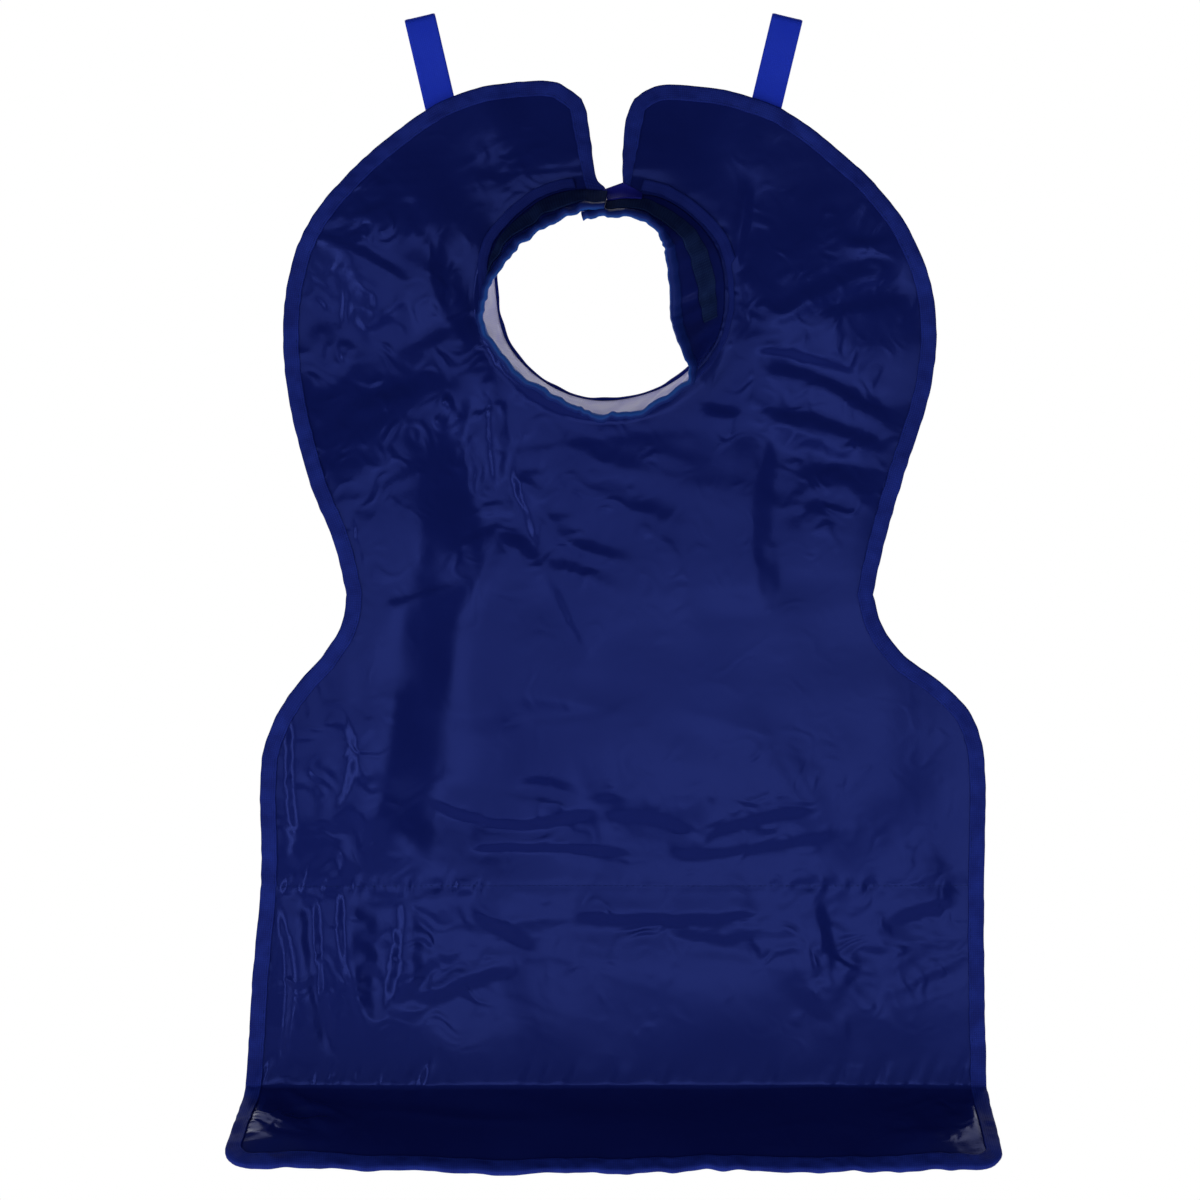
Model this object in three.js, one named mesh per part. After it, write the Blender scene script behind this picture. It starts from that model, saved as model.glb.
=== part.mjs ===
// Lead x-ray apron of the dental kind, hanging from two webbing loops: one bound vinyl panel with round
// shoulder lobes, a neck slot, a standing collar that droops forward and a hem flap that bends forward.
// Millimetres, +Z up, the front faces -Y. The origin is on the hanging line, midway between the two loops.
// The cloth is laid out flat first: x runs across it, s runs down it from the hanging line.
import * as THREE from "three";

// Walls and clearances
const GAP = 0.3;
const PANEL_WALL = 2.5;
const TAPE_WALL = 0.9;
const COLLAR_WALL = 2;
const LINING_WALL = 1;
const STRIP_WALL = 1;
const WEBBING_WALL = 1.2;

// The hanging cloth's middle plane lies this far from the plane of the loops, which are sewn to its back
const CLOTH_Y = -4;
const FRONT_Y = CLOTH_Y - PANEL_WALL / 2;

// Edge binding; it covers the panel's outermost row of facets
const BINDING_WIDTH = 12;

// Neck: the collar's seat is a flat ring round the hole
const NECK = { x: -0.4, s: 234, rx: 95, rs: 86 };
const COLLAR_SEAT = 1.5;
const SEAT_ROWS = [0, 6, 15];
const COLLAR_HEIGHT = 56;
const COLLAR_STEP = 7.5;
const COLLAR_STATIONS = { leftTip: 0, rightTip: 50, sinkStart: 45, sinkEnd: 48 };
const CLOSURE_SINK = 6.5;
const COLLAR_BINDING_LEG = 5;
const BINDING_SHARE = 1 - COLLAR_BINDING_LEG / COLLAR_HEIGHT;
const STRIP_SHARES = [0.55, 0.12];
const SEAM_TAPE = { from: 2, to: 46, near: 6.2, far: 14.2 };
const STRIPS = {
  collar_strip_left: { from: 0, to: 12 },
  collar_strip_right: { from: 35, to: 49 },
};

// Hem: a cross seam, then the flap bends forward at the fold
const WAIST_S = 482;
const SEAM_S = 725;
const FOLD_S = 892;
const FOLD_RADIUS = 16;
const FLAP_TURN = THREE.MathUtils.degToRad(63);
const CORNER_S = 984;
const CORNER_RADIUS = 22;
const BEND_START = FOLD_S - (FOLD_RADIUS * FLAP_TURN) / 2;
const BEND_END = FOLD_S + (FOLD_RADIUS * FLAP_TURN) / 2;

// Hanging loops of webbing; each leans outward, in radians, from where it is sewn
const LOOP = { width: 26, hole: 4, join: 58, length: 112 };
const LOOPS = {
  hang_loop_left: { topX: -158, lean: -0.229 },
  hang_loop_right: { topX: 149, lean: 0.236 },
};
const SEWN_AT = { x: 137, s: 92 };

// The cloth lies flat round the neck and where the loops are sewn, and drapes freely beyond these distances
const NECK_CALM = { flat: 22, free: 60 };
const LOOP_CALM = { flat: 30, free: 75 };

// Small folded end of the seam tape beside the neck slot
const CLOSURE_TAB = { apex: [12, 133], left: [3, 144], right: [28, 143.5], wall: 1.2 };

// Cells of the panel: round the neck, along the slot, each shoulder, across, and down the skirt
const CELLS = { slot: 8, shoulder: 22, across: 26, corner: 2, toSeam: 12, toBend: 8, bend: 3, flap: 4 };

// Edge of the panel, slot first: from the neck up to the lobe's corner
const SLOT_ROWS = [
  { left: [-12, 148], right: [12, 148] },
  { left: [-13.5, 118], right: [12.5, 118] },
  { left: [-16, 94], right: [14, 94] },
  { left: [-19, 79], right: [17, 79] },
  { left: [-24, 68], right: [22, 68] },
];

// From the lobe's corner over the shoulder to the waist
const SHOULDER_ROWS = [
  { left: [-24, 68], right: [22, 68] },
  { left: [-45, 54], right: [42, 57] },
  { left: [-76, 54], right: [76, 58] },
  { left: [-118, 63], right: [115, 67] },
  { left: [-160, 84], right: [154, 84] },
  { left: [-216, 131], right: [212, 131] },
  { left: [-254, 181], right: [251, 181] },
  { left: [-270, 240], right: [271, 240] },
  { left: [-268, 307], right: [268, 307] },
  { left: [-250, 382], right: [245, 382] },
  { left: [-227, 440], right: [228, 440] },
  { left: [-217, WAIST_S], right: [219, WAIST_S] },
];

// From the waist over the hip to the flap's corner
const SKIRT_ROWS = [
  { s: WAIST_S, left: -217, right: 219 },
  { s: 507, left: -221, right: 226 },
  { s: 532, left: -236, right: 244 },
  { s: 557, left: -258, right: 277 },
  { s: 582, left: -275, right: 301 },
  { s: 620, left: -288, right: 312 },
  { s: 720, left: -289, right: 312 },
  { s: 800, left: -296, right: 312 },
  { s: FOLD_S, left: -302, right: 314 },
  { s: CORNER_S, left: -309, right: 316 },
];

// Collar sections, one every 30 degrees from the top towards the left: where it is sewn on, and its free edge
const COLLAR_ROWS = [
  { base: [-1, 148], free: [-4, 166] },
  { base: [-50, 153], free: [-44, 176] },
  { base: [-91, 190], free: [-82, 205] },
  { base: [-94, 232], free: [-105, 244] },
  { base: [-83, 275], free: [-94, 283] },
  { base: [-48, 308], free: [-49, 320] },
  { base: [-4, 320], free: [-12, 336] },
  { base: [47, 308], free: [29, 331] },
  { base: [82, 277], free: [66, 303] },
  { base: [94, 236], free: [53, 260] },
  { base: [86, 192], free: [49, 211] },
  { base: [49, 157], free: [38, 183] },
];

// Broad swells of the hanging panel
const SWELL_COLUMNS = ["x", "s", "reachX", "reachS", "rise"];
const SWELLS = [
  [-10, 410, 160, 100, 12],
  [-275, 265, 90, 120, -12],
  [280, 250, 90, 110, -10],
  [-30, 620, 190, 110, 8],
  [-285, 640, 60, 90, 6],
  [300, 700, 80, 120, -6],
  [20, 815, 230, 60, 6],
];

// Folds and creases: straight or bowed ridges, or valleys where the rise is below zero
const FOLD_COLUMNS = ["fromX", "fromS", "toX", "toS", "bow", "reach", "rise"];
const FOLDS = [
  [-132, 95, -160, 690, 0, 30, -11],
  [-158, 350, -192, 640, 0, 16, 6],
  [-108, 295, -98, 420, 0, 14, 6],
  [-252, 343, -109, 281, -15, 14, 8],
  [-212, 334, -163, 374, 0, 14, -6],
  [-207, 190, -167, 226, 0, 14, -7],
  [-230, 158, -194, 170, 0, 12, -6],
  [-127, 114, -74, 146, 0, 14, 5],
  [114, 262, 258, 218, 0, 16, 7],
  [120, 278, 245, 338, -19, 13, 9],
  [125, 303, 238, 352, -14, 12, -7],
  [120, 318, 236, 361, -10, 13, 8],
  [155, 372, 236, 388, 0, 15, -8],
  [130, 350, 130, 465, 0, 13, -8],
  [148, 343, 146, 400, 0, 12, 5],
  [38, 340, 114, 336, 0, 12, -6],
  [-94, 424, -31, 477, 0, 13, 7],
  [-127, 437, -94, 424, 0, 13, 5],
  [-150, 652, 70, 672, -6, 15, 7],
  [133, 580, 196, 674, 0, 17, 7],
  [-252, 562, -212, 571, 0, 13, -6],
  [-264, 589, -262, 684, 0, 13, 5],
  [-289, SEAM_S, 312, SEAM_S, 0, 10, -2.5],
  [-118, 750, -33, 780, 8, 14, 6],
  [-55, 743, 128, 755, 0, 12, -4],
  [-181, 822, -118, 796, 0, 14, 6],
  [-254, 737, -254, 845, 0, 13, 6],
  [-209, 728, -206, 858, 0, 14, -6],
  [-170, 733, -166, 817, 0, 13, 5],
  [183, 728, 181, 800, 0, 13, 6],
  [146, 796, 190, 845, 0, 14, 6],
  [226, 760, 298, 741, 0, 13, 5],
];

// Small helpers

const rowNamed = (columns, row) => Object.fromEntries(columns.map((column, i) => [column, row[i]]));
const rowsNamed = (columns, rows) => rows.map((row) => rowNamed(columns, row));
const swells = rowsNamed(SWELL_COLUMNS, SWELLS);
const folds = rowsNamed(FOLD_COLUMNS, FOLDS);
const PROBE = 0.5;
const flat = ([x, s]) => new THREE.Vector2(x, s);
const curveOf = (rows, side) => new THREE.SplineCurve(rows.map((row) => flat(row[side])));
const spaced = (rows, side, count) => curveOf(rows, side).getSpacedPoints(count);
const steps = (from, to, count) => Array.from({ length: count }, (_, i) => from + ((to - from) * i) / count);

// A smooth value from the rows of a table whose key column is s
function columnAt(rows, column, s) {
  const last = rows.length - 1;
  const at = Math.max(0, Math.min(last - 1, rows.findIndex((row) => row.s > s) - 1));
  const i = s >= rows[last].s ? last - 1 : at;
  const slope = (j) => {
    const before = rows[Math.max(j - 1, 0)];
    const after = rows[Math.min(j + 1, last)];
    return (after[column] - before[column]) / (after.s - before.s);
  };
  const span = rows[i + 1].s - rows[i].s;
  const t = (s - rows[i].s) / span;
  const rise = rows[i + 1][column] - rows[i][column];
  const ease = t * t * (3 - 2 * t);
  const bend = slope(i) * (t - 2 * t * t + t * t * t) + slope(i + 1) * (t * t * t - t * t);
  return rows[i][column] + rise * ease + span * bend;
}

// A smooth point from the collar's sections at an angle in degrees
function collarRow(edge, angle) {
  const count = COLLAR_ROWS.length;
  const place = (angle / 360) * count;
  const first = Math.floor(place);
  const t = place - first;
  const row = (k) => COLLAR_ROWS[(((first + k) % count) + count) % count][edge];
  const along = (axis) => {
    const [p, q, r, u] = [row(-1)[axis], row(0)[axis], row(1)[axis], row(2)[axis]];
    const [c1, c2, c3] = [r - p, 2 * p - 5 * q + 4 * r - u, 3 * q - p - 3 * r + u];
    return q + (t * (c1 + t * (c2 + t * c3))) / 2;
  };
  return new THREE.Vector2(along(0), along(1));
}

// A point of the neck's edge, grown outward by a distance
function neckPoint(angle, grow) {
  const point = collarRow("base", angle);
  const outward = point.clone().sub(new THREE.Vector2(NECK.x, NECK.s)).normalize();
  return point.addScaledVector(outward, grow);
}

// The neck angle, in degrees, that a point of the flat cloth lies at
function neckAngle(point) {
  const turn = Math.atan2((NECK.x - point.x) / NECK.rx, (NECK.s - point.y) / NECK.rs);
  return (THREE.MathUtils.radToDeg(turn) + 360) % 360;
}

// From the flat cloth to the hanging form

// How far the cloth stands forward of its plain hanging profile
function drape(x, s) {
  const fromNeck = (Math.hypot((x - NECK.x) / NECK.rx, (s - NECK.s) / NECK.rs) - 1) * NECK.rs;
  const fromLoop = Math.hypot(Math.abs(x) - SEWN_AT.x, s - SEWN_AT.s);
  const atNeck = THREE.MathUtils.smoothstep(fromNeck, NECK_CALM.flat, NECK_CALM.free);
  const atLoop = THREE.MathUtils.smoothstep(fromLoop, LOOP_CALM.flat, LOOP_CALM.free);
  let rise = 0;
  for (const w of swells) {
    rise += w.rise * Math.exp(-(((x - w.x) / w.reachX) ** 2) - ((s - w.s) / w.reachS) ** 2);
  }
  for (const f of folds) {
    const run = Math.hypot(f.toX - f.fromX, f.toS - f.fromS);
    const [ux, us] = [(f.toX - f.fromX) / run, (f.toS - f.fromS) / run];
    const along = ((x - f.fromX) * ux + (s - f.fromS) * us) / run;
    const bowed = f.bow * 4 * along * (1 - along);
    const across = (s - f.fromS) * ux - (x - f.fromX) * us - bowed;
    const beyond = Math.max(0, -along, along - 1) * run;
    rise += f.rise * Math.exp(-((across / f.reach) ** 2) - (beyond / f.reach) ** 2);
  }
  return atNeck * atLoop * rise;
}

// The plain hanging profile: straight down, round the fold, then forward along the flap
function profile(s) {
  const turn = THREE.MathUtils.clamp((s - BEND_START) / FOLD_RADIUS, 0, FLAP_TURN);
  const before = Math.min(s, BEND_START);
  const past = Math.max(0, s - BEND_END);
  const [sin, cos] = [Math.sin(turn), Math.cos(turn)];
  const y = -FOLD_RADIUS * (1 - cos) - past * sin;
  const z = -before - FOLD_RADIUS * sin - past * cos;
  return { y: CLOTH_Y + y, z, normalY: -cos, normalZ: sin };
}

function hang(x, s) {
  const p = profile(s);
  const rise = drape(x, s);
  return new THREE.Vector3(x, p.y + rise * p.normalY, p.z + rise * p.normalZ);
}

// The hanging cloth's place and front normal at a point of the flat cloth
function clothAt(point) {
  const [x, s] = [point.x, point.y];
  const across = hang(x + PROBE, s).sub(hang(x - PROBE, s));
  const down = hang(x, s + PROBE).sub(hang(x, s - PROBE));
  return { middle: hang(x, s), normal: down.cross(across).normalize() };
}

// A closed solid from two matching faces of a sheet; quads turn anticlockwise as seen from the outer face
function sheetSolid(outer, inner, quads) {
  const sides = ([a, b, c, d]) => [[a, b], [b, c], [c, d], [d, a]];
  const used = new Set(quads.flatMap((quad) => sides(quad).map(([a, b]) => `${a} ${b}`)));
  const back = outer.length;
  const index = [];
  for (const quad of quads) {
    const [a, b, c, d] = quad;
    index.push(a, b, c, a, c, d, back + a, back + c, back + b, back + a, back + d, back + c);
    for (const [p, q] of sides(quad)) {
      if (!used.has(`${q} ${p}`)) index.push(p, back + p, back + q, p, back + q, q);
    }
  }
  const geometry = new THREE.BufferGeometry().setFromPoints([...outer, ...inner]);
  geometry.setIndex(index);
  geometry.computeVertexNormals();
  return geometry;
}

// The same from a plain grid, whose function gives the outer and inner point of each place.
// A turned strip of cells has its facets split the other way, so that it follows the sheet under it.
function gridSolid(from, to, lines, pointsAt, turned = -1) {
  const outer = [];
  const inner = [];
  const quads = [];
  for (let i = from; i <= to; i++) {
    for (let j = 0; j < lines; j++) {
      const [o, n] = pointsAt(i, j);
      outer.push(o);
      inner.push(n);
      const here = (i - from) * lines + j;
      const quad = [here, here + 1, here + lines + 1, here + lines];
      if (i < to && j < lines - 1) quads.push(j === turned ? [...quad.slice(1), here] : quad);
    }
  }
  return sheetSolid(outer, inner, quads);
}

// Panel layout on the flat cloth: stations along its edge, and the cells inside

// Stations of the edge from the neck, up the left of the slot, round the panel and back down to the neck
function edgeStations() {
  const skirtS = [
    ...steps(WAIST_S, SEAM_S, CELLS.toSeam),
    ...steps(SEAM_S, BEND_START, CELLS.toBend),
    ...steps(BEND_START, BEND_END, CELLS.bend),
    ...steps(BEND_END, CORNER_S, CELLS.flap),
    CORNER_S,
  ];
  const sideStations = (side) => {
    const angle = neckAngle(flat(SLOT_ROWS[0][side]));
    const seatEdge = { [side]: neckPoint(angle, SEAT_ROWS[1]).toArray() };
    return [
      neckPoint(angle, SEAT_ROWS[0]),
      ...spaced([seatEdge, ...SLOT_ROWS.slice(1)], side, CELLS.slot - 1),
      ...spaced(SHOULDER_ROWS, side, CELLS.shoulder).slice(1),
      ...skirtS.slice(1).map((s) => flat([columnAt(SKIRT_ROWS, side, s), s])),
    ];
  };
  const [left, right] = [sideStations("left"), sideStations("right")];
  return [...left, ...hemStations(left.at(-1), right.at(-1)), ...right.reverse()];
}

// The hem between the two corner stations: a round corner, the straight edge and the other corner
function hemStations(start, end) {
  const round = new THREE.Path();
  round.absarc(start.x + CORNER_RADIUS, CORNER_S, CORNER_RADIUS, Math.PI, Math.PI / 2, true);
  const leftCorner = round.getSpacedPoints(CELLS.corner);
  const rightCorner = leftCorner.map((p) => flat([start.x + end.x - p.x, p.y])).reverse();
  const [from, to] = [leftCorner.at(-1), rightCorner[0]];
  const straight = CELLS.across - 2 * CELLS.corner;
  const line = steps(0, 1, straight).map((t) => from.clone().lerp(to, t));
  return [...leftCorner.slice(1, -1), ...line, ...rightCorner.slice(0, -1)];
}

// The panel's cells: a ring of them round the neck, a skirt below the waist, and the row at the edge
function layOut() {
  const edge = edgeStations();
  const last = edge.length - 1;
  const { slot, shoulder, across } = CELLS;
  const inset = edge.map((point, k) => {
    const along = edge[Math.min(k + 1, last)].clone().sub(edge[Math.max(k - 1, 0)]).normalize();
    return flat([point.x + along.y * BINDING_WIDTH, point.y - along.x * BINDING_WIDTH]);
  });
  const waist = slot + shoulder;
  const rows = CELLS.toSeam + CELLS.toBend + CELLS.bend + CELLS.flap;
  const hem = inset.slice(waist + rows, waist + rows + across + 1);
  const hemShare = hem.map((p) => (p.x - hem[0].x) / (hem[across].x - hem[0].x));

  const skirt = [];
  for (let r = 0; r < rows; r++) {
    const [l, m] = [inset[waist + r], inset[last - waist - r]];
    const place = (share, c) => THREE.MathUtils.lerp(c / across, share, r / rows);
    skirt.push(hemShare.map((share, c) => l.clone().lerp(m, place(share, c))));
  }
  skirt.push(hem);

  const outerRing = [
    ...inset.slice(slot, waist),
    ...skirt[0],
    ...inset.slice(last - waist + 1, last - slot + 1),
  ];
  const ring = outerRing.map((outer) => {
    const angle = neckAngle(outer);
    const seat = SEAT_ROWS.map((grow) => neckPoint(angle, grow));
    const free = slot - SEAT_ROWS.length + 1;
    return [...seat, ...steps(0, 1, free).slice(1).map((t) => seat.at(-1).clone().lerp(outer, t)), outer];
  });
  ring[0].forEach((point, v) => (inset[v] = point));
  ring.at(-1).forEach((point, v) => (inset[last - v] = point));
  return { edge, inset, ring, skirt };
}

const { edge, inset, ring, skirt } = layOut();

// Pieces

function apronPanel() {
  const front = [];
  const back = [];
  const known = new Map();
  const vertex = (point) => {
    const key = `${point.x.toFixed(3)} ${point.y.toFixed(3)}`;
    if (!known.has(key)) {
      const { middle, normal } = clothAt(point);
      known.set(key, front.length);
      front.push(middle.clone().addScaledVector(normal, PANEL_WALL / 2));
      back.push(middle.clone().addScaledVector(normal, -PANEL_WALL / 2));
    }
    return known.get(key);
  };
  const quads = [];
  const cells = (lines) => {
    for (let i = 0; i + 1 < lines.length; i++) {
      for (let j = 0; j + 1 < lines[i].length; j++) {
        const corners = [lines[i][j], lines[i][j + 1], lines[i + 1][j + 1], lines[i + 1][j]];
        quads.push(corners.map(vertex));
      }
    }
  };
  cells(inset.map((point, k) => [point, edge[k]]));
  cells(ring);
  cells(skirt[0].map((_, c) => skirt.map((row) => row[c])));
  return sheetSolid(front, back, quads);
}

// Bias tape folded over the panel's edge, from one side of the slot round to the other
function edgeBinding() {
  const pointsAt = (k, j) => {
    const rim = clothAt(edge[k]);
    const inside = clothAt(inset[k]);
    const outward = rim.middle.clone().sub(inside.middle).normalize();
    const side = j < 2 ? 1 : -1;
    const atRim = j === 1 || j === 2;
    const { middle, normal } = atRim ? rim : inside;
    return [GAP + TAPE_WALL, GAP].map((clear) => {
      const point = middle.clone().addScaledVector(normal, side * (PANEL_WALL / 2 + clear));
      return atRim ? point.addScaledVector(outward, clear) : point;
    });
  };
  return gridSolid(1, edge.length - 2, 4, pointsAt, 2);
}

// The collar's sewing face at a station: how it stands from its seat to its free edge
function collarLine(station) {
  const angle = station * COLLAR_STEP;
  const { sinkStart, sinkEnd } = COLLAR_STATIONS;
  const sink = CLOSURE_SINK * THREE.MathUtils.smoothstep(station, sinkStart, sinkEnd);
  const base = neckPoint(angle, COLLAR_SEAT - sink);
  const free = collarRow("free", angle);
  free.addScaledVector(flat([NECK.x, NECK.s]).sub(free).normalize(), sink);
  const lean = free.clone().sub(base);
  const forward = Math.sqrt(COLLAR_HEIGHT ** 2 - lean.lengthSq());
  const foot = new THREE.Vector3(base.x, FRONT_Y - GAP, -base.y);
  return { foot, up: new THREE.Vector3(lean.x, -forward, -lean.y) };
}

// A point of the collar: share of its height, and distance outward from the sewing face
function collarPoint(station, share, out) {
  const { foot, up } = collarLine(station);
  const [next, before] = [collarLine(station + PROBE), collarLine(station - PROBE)];
  const round = next.foot.clone().addScaledVector(next.up, share);
  round.sub(before.foot.clone().addScaledVector(before.up, share));
  const normal = round.cross(up).normalize();
  const point = foot.clone().addScaledVector(up, share);
  if (share > 0) return point.addScaledVector(normal, out);
  const level = normal.clone().setY(0).normalize();
  return point.addScaledVector(level, out / normal.dot(level));
}

// A sheet on the collar between two distances outward, with a line of facets at each share of the height
const collarSheet = (from, to, shares, outer, inner) =>
  gridSolid(from, to, shares.length, (i, j) => [outer, inner].map((out) => collarPoint(i, shares[j], out)));

function collarEdgeBinding() {
  const { leftTip, rightTip } = COLLAR_STATIONS;
  const pointsAt = (i, j) =>
    [GAP + TAPE_WALL, GAP].map((clear) => {
      const out = j < 2 ? -(GAP + LINING_WALL + clear) : COLLAR_WALL + clear;
      const share = j === 1 || j === 2 ? 1 + clear / COLLAR_HEIGHT : BINDING_SHARE;
      return collarPoint(i, share, out);
    });
  return gridSolid(leftTip, rightTip, 4, pointsAt, 0);
}

function neckSeamTape() {
  const { from, to, near, far } = SEAM_TAPE;
  return gridSolid(from, to, 2, (i, j) => {
    const point = neckPoint(i * COLLAR_STEP, j === 0 ? near : far);
    return [GAP + TAPE_WALL, GAP].map((clear) => new THREE.Vector3(point.x, FRONT_Y - clear, -point.y));
  });
}

// A triangle of folded tape lying over the ends of the binding and the seam tape
function closureTab() {
  const corners = [CLOSURE_TAB.left, CLOSURE_TAB.right, CLOSURE_TAB.apex];
  const shape = new THREE.Shape(corners.map(([x, s]) => new THREE.Vector2(x, -s)));
  const geometry = new THREE.ExtrudeGeometry(shape, { depth: CLOSURE_TAB.wall, bevelEnabled: false });
  const [right, up, forward] = [[1, 0, 0], [0, 0, 1], [0, -1, 0]].map((axis) => new THREE.Vector3(...axis));
  geometry.applyMatrix4(new THREE.Matrix4().makeBasis(right, up, forward));
  return geometry.translate(0, FRONT_Y - 2 * GAP - TAPE_WALL, 0);
}

// A teardrop loop of webbing, hung by the inside of its top; its two layers are sewn together below the join
function hangLoop() {
  const { width, hole, join, length } = LOOP;
  const outside = hole + WEBBING_WALL;
  const shape = new THREE.Shape();
  shape.moveTo(-WEBBING_WALL, -length);
  shape.lineTo(WEBBING_WALL, -length);
  shape.lineTo(WEBBING_WALL, -join);
  shape.lineTo(outside, -hole);
  shape.absarc(0, -hole, outside, 0, Math.PI, false);
  shape.lineTo(-WEBBING_WALL, -join);
  const inside = new THREE.Path();
  inside.moveTo(0, -join);
  inside.lineTo(hole, -hole);
  inside.absarc(0, -hole, hole, 0, Math.PI, false);
  shape.holes.push(inside);
  const geometry = new THREE.ExtrudeGeometry(shape, { depth: width, bevelEnabled: false, curveSegments: 8 });
  geometry.translate(0, 0, -width / 2);
  const [along, up, through] = [[0, 1, 0], [0, 0, 1], [1, 0, 0]].map((axis) => new THREE.Vector3(...axis));
  return geometry.applyMatrix4(new THREE.Matrix4().makeBasis(along, up, through));
}

// Finishes

const vinyl = { color: "#17215f", roughness: 0.35, metalness: 0 };
const tape = { color: "#1a2b72", roughness: 0.6, metalness: 0 };
const brightTape = { color: "#1e4fa8", roughness: 0.5, metalness: 0 };
const webbing = { color: "#1627a0", roughness: 0.7, metalness: 0 };
const lining = { color: "#d8d9e6", roughness: 0.8, metalness: 0 };
const loopPile = { color: "#0c163b", roughness: 0.95, metalness: 0 };

function piece(name, geometry, finish) {
  const mesh = new THREE.Mesh(geometry, new THREE.MeshStandardMaterial(finish));
  mesh.name = name;
  return mesh;
}

const apron = new THREE.Group();
const { leftTip, rightTip } = COLLAR_STATIONS;
apron.add(piece("apron_panel", apronPanel(), vinyl));
apron.add(piece("edge_binding", edgeBinding(), tape));
const shares = [1, BINDING_SHARE, ...STRIP_SHARES, 0];
apron.add(piece("collar_band", collarSheet(leftTip, rightTip, shares, COLLAR_WALL, 0), vinyl));
apron.add(piece("collar_lining", collarSheet(leftTip, rightTip, shares, -GAP, -GAP - LINING_WALL), lining));
apron.add(piece("collar_edge_binding", collarEdgeBinding(), brightTape));
apron.add(piece("neck_seam_tape", neckSeamTape(), tape));
apron.add(piece("closure_tab", closureTab(), tape));
for (const [name, { from, to }] of Object.entries(STRIPS)) {
  const under = COLLAR_WALL + GAP;
  apron.add(piece(name, collarSheet(from, to, STRIP_SHARES, under + STRIP_WALL, under), loopPile));
}
for (const [name, { topX, lean }] of Object.entries(LOOPS)) {
  const loop = piece(name, hangLoop(), webbing);
  loop.position.x = topX;
  loop.rotation.y = lean;
  apron.add(loop);
}

export default apron;
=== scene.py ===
"""Looks of a hanging lead x-ray apron: satin navy vinyl, bound edges, ruffled collar, webbing loops."""

import math
from types import SimpleNamespace as Values

import bmesh
import bpy
import numpy as np
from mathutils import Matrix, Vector


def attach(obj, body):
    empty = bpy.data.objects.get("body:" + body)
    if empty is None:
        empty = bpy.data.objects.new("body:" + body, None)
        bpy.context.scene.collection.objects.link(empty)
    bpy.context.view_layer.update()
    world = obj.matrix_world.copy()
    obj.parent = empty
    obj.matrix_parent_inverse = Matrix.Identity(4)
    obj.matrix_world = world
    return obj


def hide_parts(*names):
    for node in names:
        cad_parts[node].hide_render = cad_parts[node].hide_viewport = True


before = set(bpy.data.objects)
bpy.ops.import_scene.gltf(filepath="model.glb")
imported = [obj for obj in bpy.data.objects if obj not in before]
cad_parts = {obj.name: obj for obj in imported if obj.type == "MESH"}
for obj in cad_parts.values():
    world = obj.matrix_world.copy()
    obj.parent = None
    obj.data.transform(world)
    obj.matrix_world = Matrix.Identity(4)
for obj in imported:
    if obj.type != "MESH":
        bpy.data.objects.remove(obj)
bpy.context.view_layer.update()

MM = 0.001

# Sizes in millimetres, the same as the solids' own
GAP = 0.3
PANEL_WALL = 2.5
TAPE_WALL = 0.9
COLLAR_WALL = 2
LINING_WALL = 1
STRIP_WALL = 1
WEBBING_WALL = 1.2
CLOTH_Y = -4
FRONT_Y = CLOTH_Y - PANEL_WALL / 2
BINDING_WIDTH = 12

NECK = Values(x=-0.4, s=234, rx=95, rs=86)
# Distances from the neck and the loops: flat up to the first, free from the second
NECK_CALM = (22, 60)
LOOP_CALM = (30, 75)
CREASE_CALM = (7, 18)
CREASE_POINTS = 17
CREASE_RUN_OUT = Values(share=5, least=12, far=2.3)
CREASE_END = Values(least=25, share=18, most=0.45, before=1)
CREASE_STRAY = Values(share=0.28, cell=1.3, least=14, seed=80)
CRUMPLE_LINE = Values(sway=0.45, sway_cell=0.6, sway_seed=40, seed=60, blunt=0.01)
HANDLED = Values(least=0.15, steep=16, widest=30)
PUCKER = Values(lean=0.35, seed=7)
SEWN_AT = Values(x=137, s=92)
SEAT_DEPTH = 15
NECK_RIM = -2.2
SLOT_FOOT = Values(seat=6, edge_share=0.3)
EDGE_REACH = 3

COLLAR_SEAT = 1.5
COLLAR_HEIGHT = 56
COLLAR_STEP = 7.5
STATION_RUN = 11.7
STATION_REACH = 0.5
COLLAR_TIPS = (0, 50)
SINK_STATIONS = (45, 48)
CLOSURE_SINK = 6.5
STRIPS = {
    # The left strip's dark pile is hook tape near the closure, and further round it is painted shade on the
    # collar's upper left
    "collar_strip_left": {"stations": (0, 12), "shares": ((0.12, 0.83), (0.12, 0.5))},
    "collar_strip_right": {"stations": (35, 49.7), "shares": ((0.18, 0.46), (0.3, 0.84))},
}

WAIST_S = 482
SEAM_S = 725
FOLD_S = 892
FOLD_RADIUS = 4
FLAP_TURN = math.radians(63)
CORNER_S = 980
CORNER_RADIUS = 22
BEND_START = FOLD_S - FOLD_RADIUS * FLAP_TURN / 2
BEND_END = FOLD_S + FOLD_RADIUS * FLAP_TURN / 2

SEWN_GROOVE = Values(depth=0.25, reach=2.6)
HEM_CURL = Values(reach=22, drop=1.0)

TAB = Values(top=[(-6, 145), (12, 138.5), (27, 147)], clear=2.4,
             stations=(48, 45.7), foot=0.04, share=0.34)
LOOP = Values(width=26, hole=4, join=58, length=112)
LOOPS = {"hang_loop_left": (-158, -0.229), "hang_loop_right": (149, 0.236)}
WEBBING = Values(face=0.92, edge=0.9, edge_power=24, rib=0.25, rib_at=0.8, rib_reach=0.12)

EDGE_STITCH = {"Pitch": 5.4, "Length": 3.6, "Thickness": 0.55}
SEAM_STITCH = {"Pitch": 4.6, "Length": 3.2, "Thickness": 0.5}
STITCH_BEAD = {"Segments": 8, "Rings": 5, "Radius": 0.5}
STITCH_LIFT = 0.05
EDGE_ROW_SHARE = 0.16
# Row of stitches on the seam: from x, to x, points
SEAM_ROW = (-276, 299, 400)

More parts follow.
